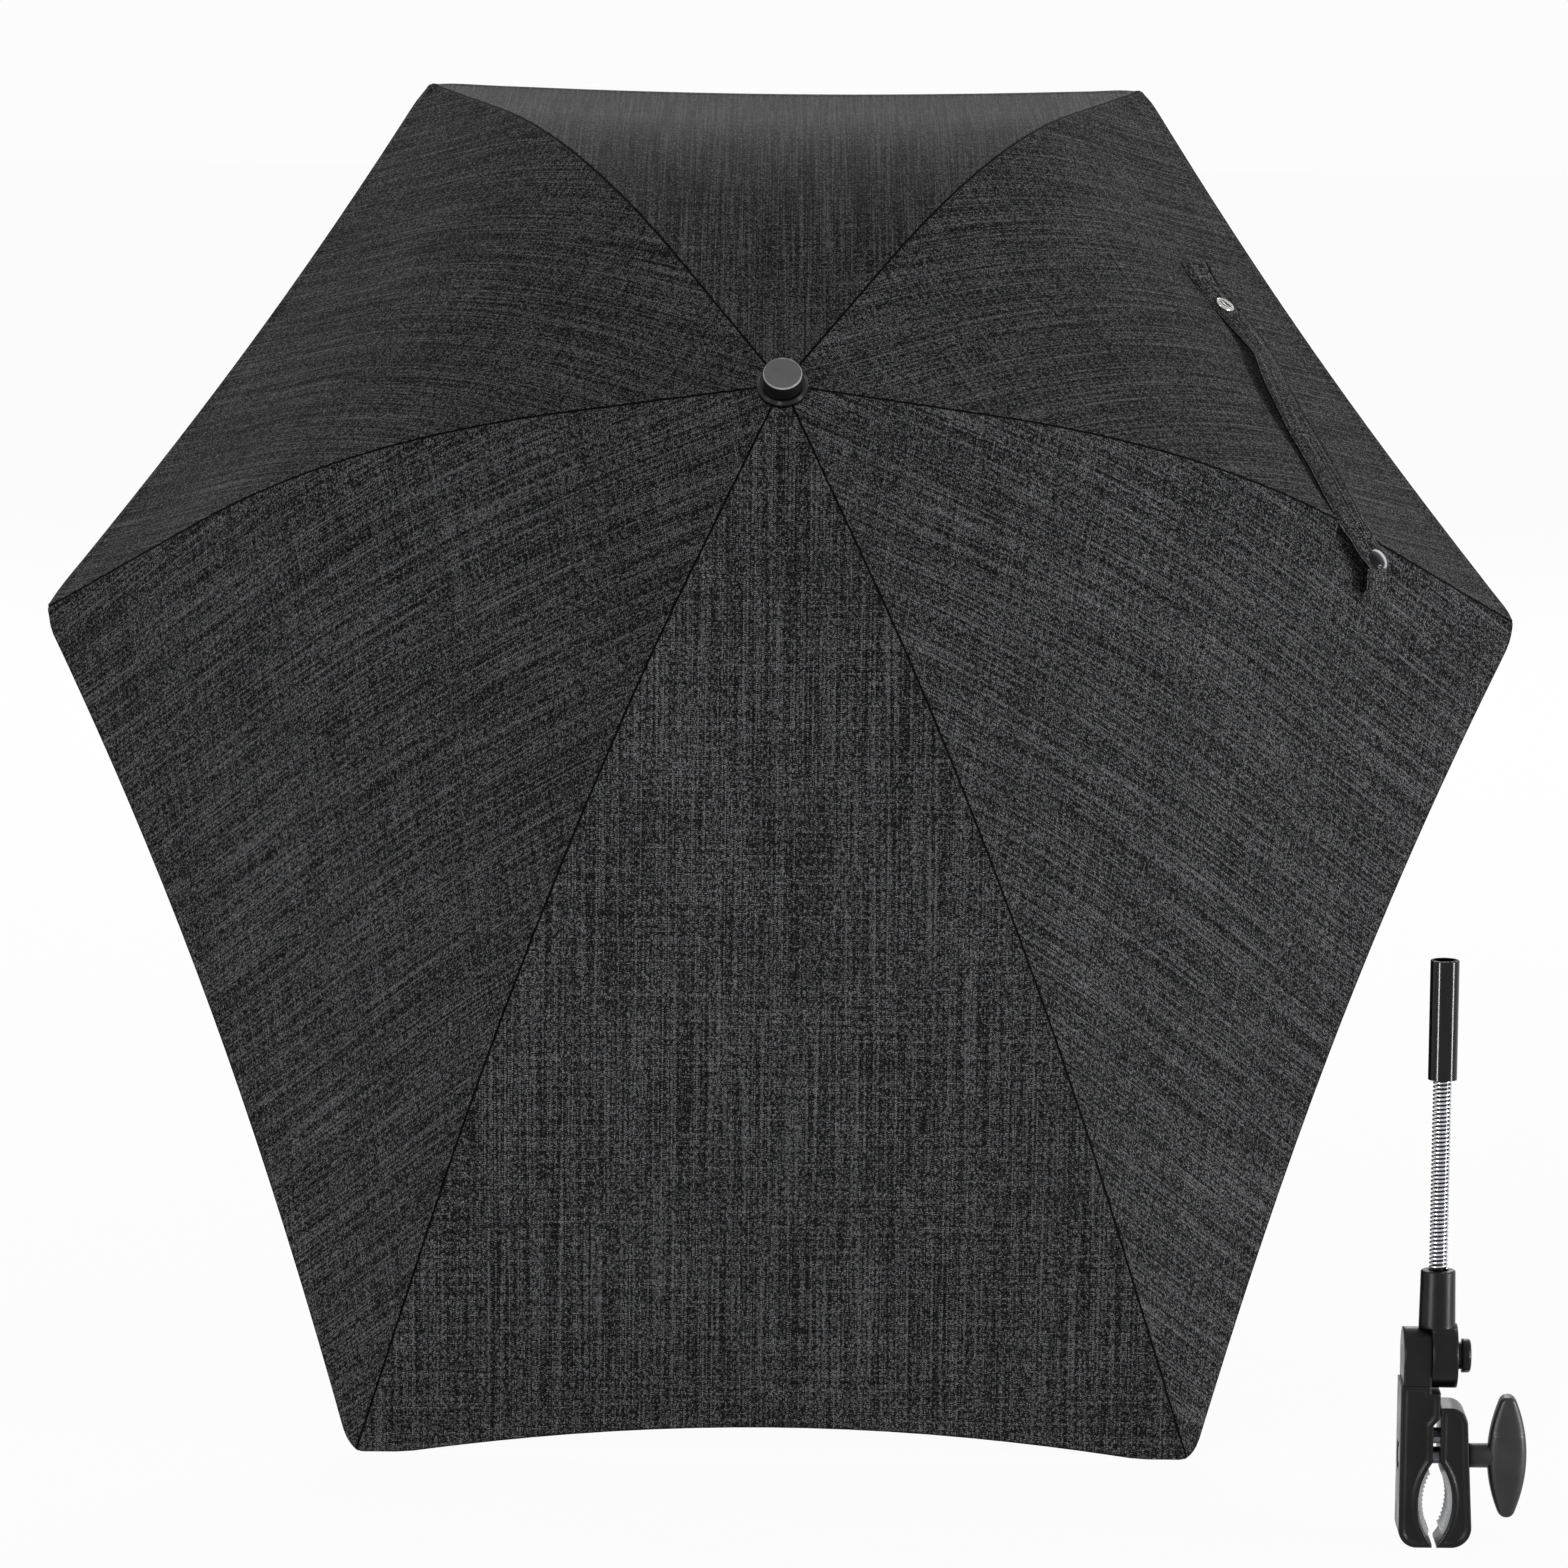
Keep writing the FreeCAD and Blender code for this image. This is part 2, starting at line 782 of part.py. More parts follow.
def closed_face(pieces):
    # Face inside arcs of three points, joined in order by straight edges
    edges = []
    for piece, following in zip(pieces, pieces[1:] + pieces[:1]):
        if len(piece) == 3:
            edges.append(arc_edge(*piece))
        if (piece[-1] - following[0]).Length > 0:
            edges.append(line_edge(piece[-1], following[0]))
    return Part.Face(Part.Wire(edges))


def spot(x, z):
    return [Vector(x, 0, z)]


def fixed_jaw_face():
    mouth = mouth_arc(-jaw_lip, -jaw_waist, mouth_bow, -1)
    corner = corner_arc(fixed_jaw_corner - fixed_jaw_back, fixed_jaw_corner, fixed_jaw_corner, 180, 270)
    return closed_face(
        [
            corner,
            spot(-jaw_lip, 0),
            mouth,
            spot(-jaw_waist, waist_top),
            spot(jaw_split, waist_top + waist_slant),
            spot(jaw_split, fixed_jaw_step),
            spot(-hinge_split, fixed_jaw_step),
            spot(-hinge_split, fixed_jaw_top),
            spot(-fixed_jaw_back, fixed_jaw_top),
        ]
    )


def moving_jaw_back_at(z):
    # The back of the moving jaw draws in above its lower corner
    rise = moving_jaw_top - moving_jaw_hump - moving_jaw_corner
    return moving_jaw_back - moving_jaw_slant * (z - moving_jaw_corner) / rise


def moving_jaw_face():
    face_x = jaw_split + moving_gap
    mouth = mouth_arc(jaw_lip, face_x, mouth_bow, 1)
    corner = corner_arc(moving_jaw_back - moving_jaw_corner, moving_jaw_corner, moving_jaw_corner, 0, -90)
    hump_z = moving_jaw_top - moving_jaw_hump
    hump = corner_arc(moving_jaw_back_at(hump_z) - moving_jaw_hump, hump_z, moving_jaw_hump, 90, 0)
    return closed_face([mouth, spot(face_x, moving_jaw_top), hump, corner, spot(jaw_lip, 0)])


def jaw_block(face):
    half = jaw_depth / 2
    block = slab(face, half)
    rims = [edge for edge in block.Edges if edge.BoundBox.YLength < jaw_edge]
    block = block.makeFillet(jaw_edge, rims)
    panel = face.makeOffset2D(-panel_inset)
    front = move(panel, 0, -half - overrun, 0).extrude(Vector(0, overrun + panel_depth, 0))
    back = move(panel, 0, half + overrun, 0).extrude(Vector(0, -overrun - panel_depth, 0))
    return block.cut(front).cut(back)


guide_pin_right = jaw_split + moving_gap + jaw_travel + guide_pin_hold


def guide_pins_at(radius, left, right):
    spread = (-guide_pin_spread, guide_pin_spread)
    return Part.makeCompound([cylinder_along_x(radius, left, right, y, guide_pin_height) for y in spread])


def nut_prism(across, left, right):
    corners = []
    for i in range(6):
        way = math.radians(60 * i)
        reach = across / 2 / math.cos(math.pi / 6)
        corners.append(Vector(left, reach * math.cos(way), bolt_height + reach * math.sin(way)))
    return Part.Face(Part.makePolygon(corners + corners[:1])).extrude(Vector(right - left, 0, 0))


nut_left = -fixed_jaw_back + nut_cover


def fixed_jaw():
    jaw = jaw_block(fixed_jaw_face())
    bore = bolt_diameter / 2 + slide_clearance
    jaw = jaw.cut(cylinder_along_x(bore, nut_left, jaw_split + overrun, 0, bolt_height))
    jaw = jaw.cut(nut_prism(nut_across + 2 * running_clearance, -fixed_jaw_back - overrun, nut_left + nut_length))
    seat_radius = guide_pin_diameter / 2 + running_clearance
    return jaw.cut(guide_pins_at(seat_radius, -jaw_waist - guide_pin_seat, overrun))


def moving_jaw():
    jaw = jaw_block(moving_jaw_face())
    bore = bolt_diameter / 2 + slide_clearance
    jaw = jaw.cut(cylinder_along_x(bore, 0, moving_jaw_back + overrun, 0, bolt_height))
    slide_radius = guide_pin_diameter / 2 + slide_clearance
    return jaw.cut(guide_pins_at(slide_radius, 0, guide_pin_right + moving_gap))


def jaw_guide_pins():
    return guide_pins_at(guide_pin_diameter / 2, -jaw_waist - guide_pin_seat, guide_pin_right)


def jaw_pad(mouth, outward):
    low, middle, high = mouth
    circle = arc_edge(low, middle, high).Curve
    centre = circle.Center
    radius = circle.Radius - running_clearance
    low_angle = math.asin((pad_low - centre.z) / radius)
    high_angle = math.asin((pad_high - centre.z) / radius)

    def at(distance, share):
        way = low_angle + (high_angle - low_angle) * share
        return Vector(centre.x + outward * distance * math.cos(way), 0, centre.z + distance * math.sin(way))

    root = radius - pad_thickness
    points = []
    for tooth in range(pad_teeth):
        points.append(at(root, tooth / pad_teeth))
        points.append(at(root - pad_tooth, (tooth + 0.5) / pad_teeth))
    points.append(at(root, 1))
    edges = [line_edge(a, b) for a, b in zip(points, points[1:])]
    edges.append(line_edge(points[-1], at(radius, 1)))
    edges.append(arc_edge(at(radius, 1), at(radius, 0.5), at(radius, 0)))
    edges.append(line_edge(at(radius, 0), points[0]))
    return slab(Part.Face(Part.Wire(edges)), pad_width / 2)


def fixed_jaw_pad():
    return jaw_pad(mouth_arc(-jaw_lip, -jaw_waist, mouth_bow, -1), -1)


def moving_jaw_pad():
    return jaw_pad(mouth_arc(jaw_lip, jaw_split + moving_gap, mouth_bow, 1), 1)


def clamp_nut():
    nut = nut_prism(nut_across, nut_left, nut_left + nut_length - running_clearance)
    bore = cylinder_along_x(bolt_diameter / 2 + running_clearance, -fixed_jaw_back, 0, 0, bolt_height)
    return nut.cut(bore)


stem_left = moving_jaw_back_at(bolt_height - stem_diameter / 2) + moving_gap
wing_left = stem_left + stem_length
wing_centre_x = wing_left + wing_width / 2


def clamp_bolt():
    left = moving_gap - fixed_jaw_back
    return cylinder_along_x(bolt_diameter / 2, left, wing_left + bolt_in_wing, 0, bolt_height)


def wing_outline():
    half_end = wing_end_width / 2
    low, high = bolt_height - wing_span / 2, bolt_height + wing_span / 2
    left = (Vector(wing_centre_x - half_end, 0, low), Vector(wing_left, 0, bolt_height),
            Vector(wing_centre_x - half_end, 0, high))
    right = (Vector(wing_centre_x + half_end, 0, high), Vector(wing_left + wing_width, 0, bolt_height),
             Vector(wing_centre_x + half_end, 0, low))
    return closed_face([left, right])


def wing_knob():
    # Each end of the wing steps back on the side that the finger pushes
    half = wing_thickness / 2
    wing = slab(wing_outline(), half)
    rims = [edge for edge in wing.Edges if edge.BoundBox.YLength < wing_edge]
    wing = wing.makeFillet(wing_edge, rims)
    step_low = bolt_height + wing_step_height
    step_high = bolt_height + wing_span
    step = box(wing_left, wing_left + wing_width, wing_step, step_low, step_high)
    step = move(step, 0, -half, 0)
    axis = Vector(1, 0, 0)
    centre = Vector(wing_centre_x, 0, bolt_height)
    wing = wing.cut([step, turn(step, axis, 180, centre)])
    stem = cylinder_along_x(stem_diameter / 2, stem_left, wing_centre_x, 0, bolt_height)
    bore_radius = bolt_diameter / 2 + running_clearance
    bore = cylinder_along_x(bore_radius, stem_left - overrun, wing_left + bolt_in_wing, 0, bolt_height)
    return wing.fuse(stem).cut(bore)


# Tilting hinge, button, arm and socket


def hinge_base():
    left, right = -hinge_base_left, -hinge_split
    disc = cylinder_along_x(hinge_base_radius, left, right, 0, hinge_height)
    disc = disc.common(box(left, right, hinge_base_radius, fixed_jaw_top, hinge_height + hinge_base_radius))
    neck = box(left, right, jaw_depth / 2, fixed_jaw_top, hinge_height)
    hole = cylinder_along_x(pivot_diameter / 2 + running_clearance, left, right + overrun, 0, hinge_height)
    head_radius = pivot_head_radius + running_clearance
    recess = cylinder_along_x(head_radius, left - overrun, left + pivot_head_length, 0, hinge_height)
    return disc.fuse(neck).removeSplitter().cut(hole).cut(recess)


arm_left = moving_gap - hinge_split
pocket_floor = arm_left + hinge_wall
pivot_nut_left = pocket_floor + moving_gap
pivot_nut_right = pivot_nut_left + pivot_nut_length
button_stem_left = pivot_nut_right + moving_gap + button_travel
button_cap_left = hinge_arm_right + button_travel + slot_gap


def pivot_bolt():
    left = -hinge_base_left
    head = cylinder_along_x(pivot_head_radius, left, left + pivot_head_length, 0, hinge_height)
    shank = cylinder_along_x(pivot_diameter / 2, left, pivot_nut_right, 0, hinge_height)
    nut = cylinder_along_x(pivot_nut_radius, pivot_nut_left, pivot_nut_right, 0, hinge_height)
    return head.fuse([shank, nut])


def arm_sleeve():
    sleeve = Part.makeCone(
        sleeve_bottom_radius, sleeve_top_radius, sleeve_top - sleeve_bottom, Vector(0, 0, sleeve_bottom)
    )
    sleeve = rounded_top(sleeve, sleeve_edge)
    disc = cylinder_along_x(hinge_arm_radius, arm_left, hinge_arm_right, 0, hinge_height)
    neck_half = sleeve_bottom_radius
    neck = box(arm_left, sleeve_bottom_radius, neck_half, hinge_height, sleeve_bottom)
    arm = disc.fuse([neck, sleeve]).removeSplitter()
    seat_low = sleeve_top - gooseneck_seat
    arm = arm.cut(cylinder(gooseneck_seat_radius, seat_low, sleeve_top + overrun))
    arm = arm.cut(cylinder(core_diameter / 2 + running_clearance, seat_low - core_seat, sleeve_top))
    hole_radius = pivot_diameter / 2 + running_clearance
    arm = arm.cut(cylinder_along_x(hole_radius, arm_left - overrun, pocket_floor, 0, hinge_height))
    pocket = cylinder_along_x(
        button_pocket_radius, pocket_floor, hinge_arm_right + overrun, 0, hinge_height
    )
    return arm.cut(pocket)


def release_button():
    cap_right = button_cap_left + button_cap_length
    cap = cylinder_along_x(button_cap_radius, button_cap_left, cap_right, 0, hinge_height)
    rims = [edge for edge in cap.Edges if edge.BoundBox.XMin > cap_right - button_edge]
    cap = cap.makeFillet(button_edge, rims)
    stem = cylinder_along_x(button_stem_radius, button_stem_left, button_cap_left, 0, hinge_height)
    return cap.fuse(stem)


def button_spring():
    length = button_stem_left - pocket_floor
    coil = spring(button_spring_radius, button_spring_wire, button_spring_turns, length, "button spring")
    coil = turn(coil, Vector(0, 1, 0), 90)
    return move(coil, pocket_floor, 0, hinge_height)


def gooseneck_spring():
    length = gooseneck_length + 2 * gooseneck_seat
    coil = spring(gooseneck_radius, gooseneck_wire, gooseneck_turns, length, "gooseneck spring")
    return move(coil, 0, 0, sleeve_top - gooseneck_seat)


socket_bottom = sleeve_top + gooseneck_length


def gooseneck_core():
    low = sleeve_top - gooseneck_seat - core_seat
    high = socket_bottom + gooseneck_seat + core_seat
    return cylinder(core_diameter / 2, low + running_clearance, high - running_clearance)


def socket_tube():
    top = socket_bottom + socket_length
    tube = rounded_top(cylinder(socket_od / 2, socket_bottom, top), socket_edge)
    tube = tube.cut(cylinder(socket_bore / 2, top - socket_depth, top + overrun))
    tube = tube.cut(cylinder(gooseneck_seat_radius, socket_bottom - overrun, socket_bottom + gooseneck_seat))
    core_top = socket_bottom + gooseneck_seat + core_seat
    return tube.cut(cylinder(core_diameter / 2 + running_clearance, socket_bottom, core_top))


# Whole parasol, leaned onto the floor, with the holder beside it

parasol = {
    "shaft_tube": shaft_tube(),
    "shaft_end_plug": shaft_end_plug(),
    "crown_hub": crown_hub(),
    "crown_pins": crown_pins(),
    "finial_flange": finial_flange(),
    "finial_cap": finial_cap(),
    "runner": runner_body(),
    "runner_catch": catch_leaf(),
    "strap": strap(),
    "snap_cap": snap_cap(),
    "snap_socket": snap_socket(),
}
for rib_name, rib_azimuth in azimuths.items():
    upright = Vector(0, 0, 1)
    parasol["rib_" + rib_name] = turn(rib(rib_kind(rib_name)), upright, rib_azimuth)
    parasol["clip_" + rib_name] = turn(rib_clip(), upright, rib_azimuth)
    parasol["stretcher_" + rib_name] = turn(stretcher(), upright, rib_azimuth)
    parasol["canopy_" + rib_name] = canopy_piece(rib_name)

holder = {
    "fixed_jaw": fixed_jaw(),
    "fixed_jaw_pad": fixed_jaw_pad(),
    "clamp_nut": clamp_nut(),
    "jaw_guide_pins": jaw_guide_pins(),
    "hinge_base": hinge_base(),
    "pivot_bolt": pivot_bolt(),
    "moving_jaw": moving_jaw(),
    "moving_jaw_pad": moving_jaw_pad(),
    "clamp_bolt": clamp_bolt(),
    "wing_knob": wing_knob(),
    "arm_sleeve": arm_sleeve(),
    "release_button": release_button(),
    "button_spring": button_spring(),
    "gooseneck_spring": gooseneck_spring(),
    "gooseneck_core": gooseneck_core(),
    "socket_tube": socket_tube(),
}

lean_turn = FreeCAD.Placement(Vector(0, 0, 0), FreeCAD.Rotation(Vector(1, 0, 0), lean))
shaft_end = lean_turn.multVec(Vector(0, 0, -shaft_length))
front_tip = lean_turn.multVec(Vector(0, front_tip_y, front_height))
floor = shaft_end.z - spigot_radius
holder_place = FreeCAD.Placement(
    Vector(holder_beside, front_tip.y - holder_ahead, floor), FreeCAD.Rotation()
)
placed = {name: shape.transformed(lean_turn.toMatrix()) for name, shape in parasol.items()}
placed.update({name: shape.transformed(holder_place.toMatrix()) for name, shape in holder.items()})

# The origin is on the floor, under the middle of everything
whole = Part.makeCompound(list(placed.values())).optimalBoundingBox(False, False)
to_origin = Vector(-(whole.XMin + whole.XMax) / 2, -(whole.YMin + whole.YMax) / 2, -floor)

os.makedirs("parts", exist_ok=True)
for node, shape in placed.items():
    shape.translate(to_origin)
    shape.exportStep("parts/" + node + ".step")
    print(node, "solids", len(shape.Solids), "valid", shape.isValid(), "volume", round(shape.Volume, 1))
print("lean", round(lean, 3), "runner travel", round(runner_travel, 3))
print("size", round(whole.XLength, 1), round(whole.YLength, 1), round(whole.ZLength, 1))
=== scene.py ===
# Pram parasol lying open on a white floor with its clamp holder beside it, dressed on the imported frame
import bpy
import json
import math
from mathutils import Matrix, Vector


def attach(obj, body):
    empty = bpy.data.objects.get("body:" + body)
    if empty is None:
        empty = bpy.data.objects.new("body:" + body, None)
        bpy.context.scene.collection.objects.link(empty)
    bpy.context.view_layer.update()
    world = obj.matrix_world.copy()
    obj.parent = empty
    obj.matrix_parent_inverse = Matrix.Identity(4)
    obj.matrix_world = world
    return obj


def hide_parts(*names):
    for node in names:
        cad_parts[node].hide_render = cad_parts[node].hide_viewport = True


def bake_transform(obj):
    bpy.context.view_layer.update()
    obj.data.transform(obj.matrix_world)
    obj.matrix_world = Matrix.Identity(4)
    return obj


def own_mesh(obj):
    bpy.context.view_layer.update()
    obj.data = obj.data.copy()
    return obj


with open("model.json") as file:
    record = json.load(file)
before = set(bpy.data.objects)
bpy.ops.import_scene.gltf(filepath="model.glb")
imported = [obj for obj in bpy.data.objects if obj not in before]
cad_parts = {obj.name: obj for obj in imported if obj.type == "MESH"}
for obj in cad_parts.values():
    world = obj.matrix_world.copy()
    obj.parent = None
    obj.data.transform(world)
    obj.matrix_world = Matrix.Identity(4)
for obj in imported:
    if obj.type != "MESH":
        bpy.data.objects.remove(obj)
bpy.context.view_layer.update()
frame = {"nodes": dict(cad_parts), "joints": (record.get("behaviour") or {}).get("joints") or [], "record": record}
mm = 0.001
joints = {joint["name"]: joint for joint in frame["joints"]}
scene = bpy.context.scene

# The parasol's own axes: right, back and up its shaft, from the middle of the crown's pivots
apex = (Vector(joints["rib_fold_side_right"]["pos_m"]) + Vector(joints["rib_fold_side_left"]["pos_m"])) / 2
upWay = -Vector(joints["runner_slide"]["axis"])
rightWay = Vector((1, 0, 0))
backWay = upWay.cross(rightWay)
holderFoot = Vector((*joints["holder_tilt"]["pos_m"][:2], 0))


def turned(way):
    return rightWay * way.x + backWay * way.y + upWay * way.z


def toScene(point):
    return apex + turned(point) * mm


def onHolder(points):
    return [holderFoot + point * mm for point in points]


def smooth(value):
    value = min(max(value, 0), 1)
    return value * value * (3 - 2 * value)


def hexColour(code):
    channels = [int(code[i:i + 2], 16) / 255 for i in (1, 3, 5)]
    return [c / 12.92 if c <= 0.04045 else ((c + 0.055) / 1.055) ** 2.4 for c in channels] + [1]


def addNode(tree, kind, inputs=None, stops=(), **settings):
    node = tree.nodes.new(kind)
    for key, value in settings.items():
        setattr(node, key, value)
    for i, (place, code) in enumerate(stops):  # a colour ramp's stops
        element = node.color_ramp.elements[i] if i < 2 else node.color_ramp.elements.new(place)
        element.position = place
        element.color = hexColour(code)
    for key, value in (inputs or {}).items():
        if isinstance(value, bpy.types.NodeSocket):
            tree.links.new(value, node.inputs[key])
        else:
            node.inputs[key].default_value = value
    return node


def mapRange(tree, value, low, high, toLow=0.0, toHigh=1.0):
    return addNode(tree, "ShaderNodeMapRange", {
        "Value": value, "From Min": low, "From Max": high, "To Min": toLow, "To Max": toHigh}).outputs[0]


def colourRamp(tree, value, stops):
    return addNode(tree, "ShaderNodeValToRGB", {"Fac": value}, stops=stops).outputs["Color"]


def noise(tree, place, size, detail):  # size of its blots in mm
    return addNode(tree, "ShaderNodeTexNoise", {
        "Vector": place, "Scale": 1 / (size * mm), "Detail": detail}).outputs["Fac"]


def newMaterial(name, **constants):
    material = bpy.data.materials.new(name)
    material.use_nodes = True
    tree = material.node_tree
    tree.nodes.clear()
    shader = addNode(tree, "ShaderNodeBsdfPrincipled", constants)
    addNode(tree, "ShaderNodeOutputMaterial", {"Surface": shader.outputs[0]})
    return material, tree, shader


def baseColour(material):  # the node tree, the colour's socket and what feeds it now
    tree = material.node_tree
    shader = next(node for node in tree.nodes if node.type == "BSDF_PRINCIPLED")
    target = shader.inputs["Base Color"]
    return tree, target, target.links[0].from_socket


# Melange polyester: a plain weave of black and grey filament yarns, each with its own light and dark runs,
# so it reads as fine pepper with thin streaks down each gore and fainter ones across it. The yarns lie
# 0.6 mm apart, about as in such cloth.
weaveSizes = {
    "along": 0.6, "across": 0.6,
    "apart": 7.31,                           # steps of the noise from one yarn to the next
    "warp": ((110, 1.3), (2.0, 1.7)),        # length of the runs in mm, weight
    "weft": ((70, 0.9), (1.6, 1.75)),
    "warpLift": 0.06, "relief": 0.3,
    "seamLine": (0.6, 0.85), "seamShade": 0.04, "hemLine": (0.2, 1.4), "hemShade": 0.4,
}


def clothMaterial(name, dark, middle, light):
    material, tree, shader = newMaterial(name, **{
        "Roughness": 0.88, "Specular IOR Level": 0.05, "Sheen Weight": 0.04, "Sheen Roughness": 0.35})
    weave = addNode(tree, "ShaderNodeUVMap", uv_map="weave").outputs["UV"]
    counted = addNode(tree, "ShaderNodeVectorMath", {
        0: weave, 1: (1 / (weaveSizes["along"] * mm), 1 / (weaveSizes["across"] * mm), 0)},
        operation="MULTIPLY").outputs[0]
    yarn = addNode(tree, "ShaderNodeVectorMath", {0: counted}, operation="FLOOR").outputs[0]
    over = addNode(tree, "ShaderNodeTexChecker", {"Vector": counted, "Scale": 1}).outputs["Fac"]
    tones = {}
    for kind, way in (("warp", Vector((1, 0, 0))), ("weft", Vector((0, 1, 0)))):
        tone = 0.5 - sum(weight for length, weight in weaveSizes[kind]) / 2
        tone += weaveSizes["warpLift"] if kind == "warp" else -weaveSizes["warpLift"]
        for length, weight in weaveSizes[kind]:
            run = addNode(tree, "ShaderNodeVectorMath", {
                0: weave, 1: way / (length * mm)}, operation="MULTIPLY")
            spot = addNode(tree, "ShaderNodeVectorMath", {
                0: yarn, 1: way.yxz * weaveSizes["apart"], 2: run.outputs[0]}, operation="MULTIPLY_ADD")
            runs = addNode(tree, "ShaderNodeTexNoise", {
                "Vector": spot.outputs[0], "Scale": 1, "Detail": 1, "Roughness": 0.5}, noise_dimensions="2D")
            tone = addNode(tree, "ShaderNodeMath", {0: runs.outputs["Fac"], 1: weight, 2: tone},
                           operation="MULTIPLY_ADD").outputs[0]
        tones[kind] = tone
    tone = addNode(tree, "ShaderNodeMix", {0: over, 2: tones["weft"], 3: tones["warp"]}).outputs[0]
    yarnColour = colourRamp(tree, tone, ((0, dark), (0.5, middle), (1, light)))

    # the seam's and the hem's dark lines, from the distance to each
    edges = addNode(tree, "ShaderNodeUVMap", uv_map="edges").outputs["UV"]
    apart = addNode(tree, "ShaderNodeSeparateXYZ", {0: edges}).outputs
    seam = mapRange(tree, apart["X"], *(edge * mm for edge in weaveSizes["seamLine"]),
                    weaveSizes["seamShade"])
    hem = mapRange(tree, apart["Y"], *(edge * mm for edge in weaveSizes["hemLine"]),
                   weaveSizes["hemShade"])
    shade = addNode(tree, "ShaderNodeMath", {0: seam, 1: hem}, operation="MULTIPLY").outputs[0]
    final = addNode(tree, "ShaderNodeVectorMath", {0: yarnColour, "Scale": shade}, operation="SCALE")
    tree.links.new(final.outputs[0], shader.inputs["Base Color"])
    bump = addNode(tree, "ShaderNodeBump", {
        "Height": tone, "Strength": 0.3, "Distance": weaveSizes["relief"] * mm})
    tree.links.new(bump.outputs[0], shader.inputs["Normal"])
    return material


# Moulded plastic: fine spark-eroded grain that breaks up the highlight, with slow flow marks in the gloss; given
# an edge, its rounded edges get a painted highlight, a paler colour
plasticSizes = {"grain": 0.7, "grainDepth": 0.06, "flow": 14.0,
                "spread": (0.3, 0.7), "glossSpread": (0.85, 1.2),
                "edgeTurn": (0.98, 0.8), "edgeHighlight": 0.7, "edgeColour": "#2e2e30"}


def mouldedPlastic(name, colour, worn, roughness, grain, gloss=0.5, edge=0.0):
    material, tree, shader = newMaterial(name, **{"IOR": 1.5, "Specular IOR Level": gloss})
    place = addNode(tree, "ShaderNodeTexCoord").outputs["Object"]
    fine = noise(tree, place, plasticSizes["grain"], 2)
    slow = noise(tree, place, plasticSizes["flow"], 3)
    plain = colourRamp(tree, mapRange(tree, slow, *plasticSizes["spread"]), ((0, colour), (1, worn)))
    rough = mapRange(tree, slow, *plasticSizes["spread"],
                     *(roughness * share for share in plasticSizes["glossSpread"]))
    tree.links.new(rough, shader.inputs["Roughness"])
    bump = addNode(tree, "ShaderNodeBump", {
        "Height": fine, "Strength": grain, "Distance": plasticSizes["grainDepth"] * mm})
    tree.links.new(bump.outputs[0], shader.inputs["Normal"])
    if edge:  # mould radius on the edges, with a painted highlight: the edges a little paler
        softened = addNode(tree, "ShaderNodeBevel", {"Radius": edge * mm}, samples=6).outputs[0]
        tree.links.new(softened, bump.inputs["Normal"])
        normal = addNode(tree, "ShaderNodeNewGeometry").outputs["Normal"]
        facing = addNode(tree, "ShaderNodeVectorMath", {0: softened, 1: normal}, operation="DOT_PRODUCT")
        edgeLit = mapRange(tree, facing.outputs["Value"], *plasticSizes["edgeTurn"],
                          0, plasticSizes["edgeHighlight"])
        plain = addNode(tree, "ShaderNodeMix", {
            0: edgeLit, 6: plain, 7: hexColour(plasticSizes["edgeColour"])}, data_type="RGBA").outputs[2]
    tree.links.new(plain, shader.inputs["Base Color"])
    return material


# Bare or plated metal: drawn lines or plating mottle in the gloss, colour from the metal itself, or by facing a
# painted reflection
metalSizes = {"lines": 0.9, "spread": (0.3, 0.7), "glossSpread": (1.25, 0.8)}


def platedMetal(name, stops, roughness, drawn=(1, 1, 1), byFacing=False):
    material, tree, shader = newMaterial(name, **{"Metallic": 1.0})
    place = addNode(tree, "ShaderNodeTexCoord").outputs["Object"]
    along = addNode(tree, "ShaderNodeMapping", {"Vector": place, "Scale": drawn}).outputs[0]
    lines = noise(tree, along, metalSizes["lines"], 3)
    if byFacing:  # painted reflection: a dark studio in the middle of a small dome and white paper round its sides
        tone = addNode(tree, "ShaderNodeLayerWeight", {"Blend": 0.5}).outputs["Facing"]
    else:
        tone = mapRange(tree, lines, *metalSizes["spread"])
    tree.links.new(colourRamp(tree, tone, stops), shader.inputs["Base Color"])
    rough = mapRange(tree, lines, *metalSizes["spread"],
                     *(roughness * share for share in metalSizes["glossSpread"]))
    tree.links.new(rough, shader.inputs["Roughness"])
    return material


# Cloths: dark, middle and light yarns. Plastics: two colours, roughness, grain, gloss, softened edge in mm.
# Metals: colours, roughness, stretch of the drawn lines.
melange = clothMaterial("melangePolyester", "#030304", "#1a1a1b", "#78787a")  # dry charcoal, grey flecks
strapTape = clothMaterial("melangeTape", "#040405", "#242425", "#818183")  # the same cloth, a shade paler
knobPlastic = mouldedPlastic("softTouchAbs", "#1b1b1c", "#232324", 0.42, 0.1, 0.34)  # broad soft shine
holderPlastic = mouldedPlastic("satinAbs", "#0c0c0d", "#131314", 0.3, 0.12, 0.18, 1.8)  # black, painted highlight on the edges
fittingsPlastic = mouldedPlastic("mattNylon", "#141415", "#1b1b1c", 0.5, 0.2, 0.3)  # dull inner fittings
finialPlastic = mouldedPlastic("glossAbs", "#070708", "#0b0b0c", 0.2, 0.04, 0.25)  # small sharp glint
finialCap = mouldedPlastic("satinCapAbs", "#545455", "#5e5e5f", 0.4, 0.1, 0.35)  # even grey top
ribRod = mouldedPlastic("pultrudedGlassFibre", "#191a1b", "#222324", 0.42, 0.25)  # grainy black rods
shaftCoat = mouldedPlastic("powderCoatedSteel", "#37383a", "#3f4042", 0.36, 0.3, 0.5)  # grey speckled gloss
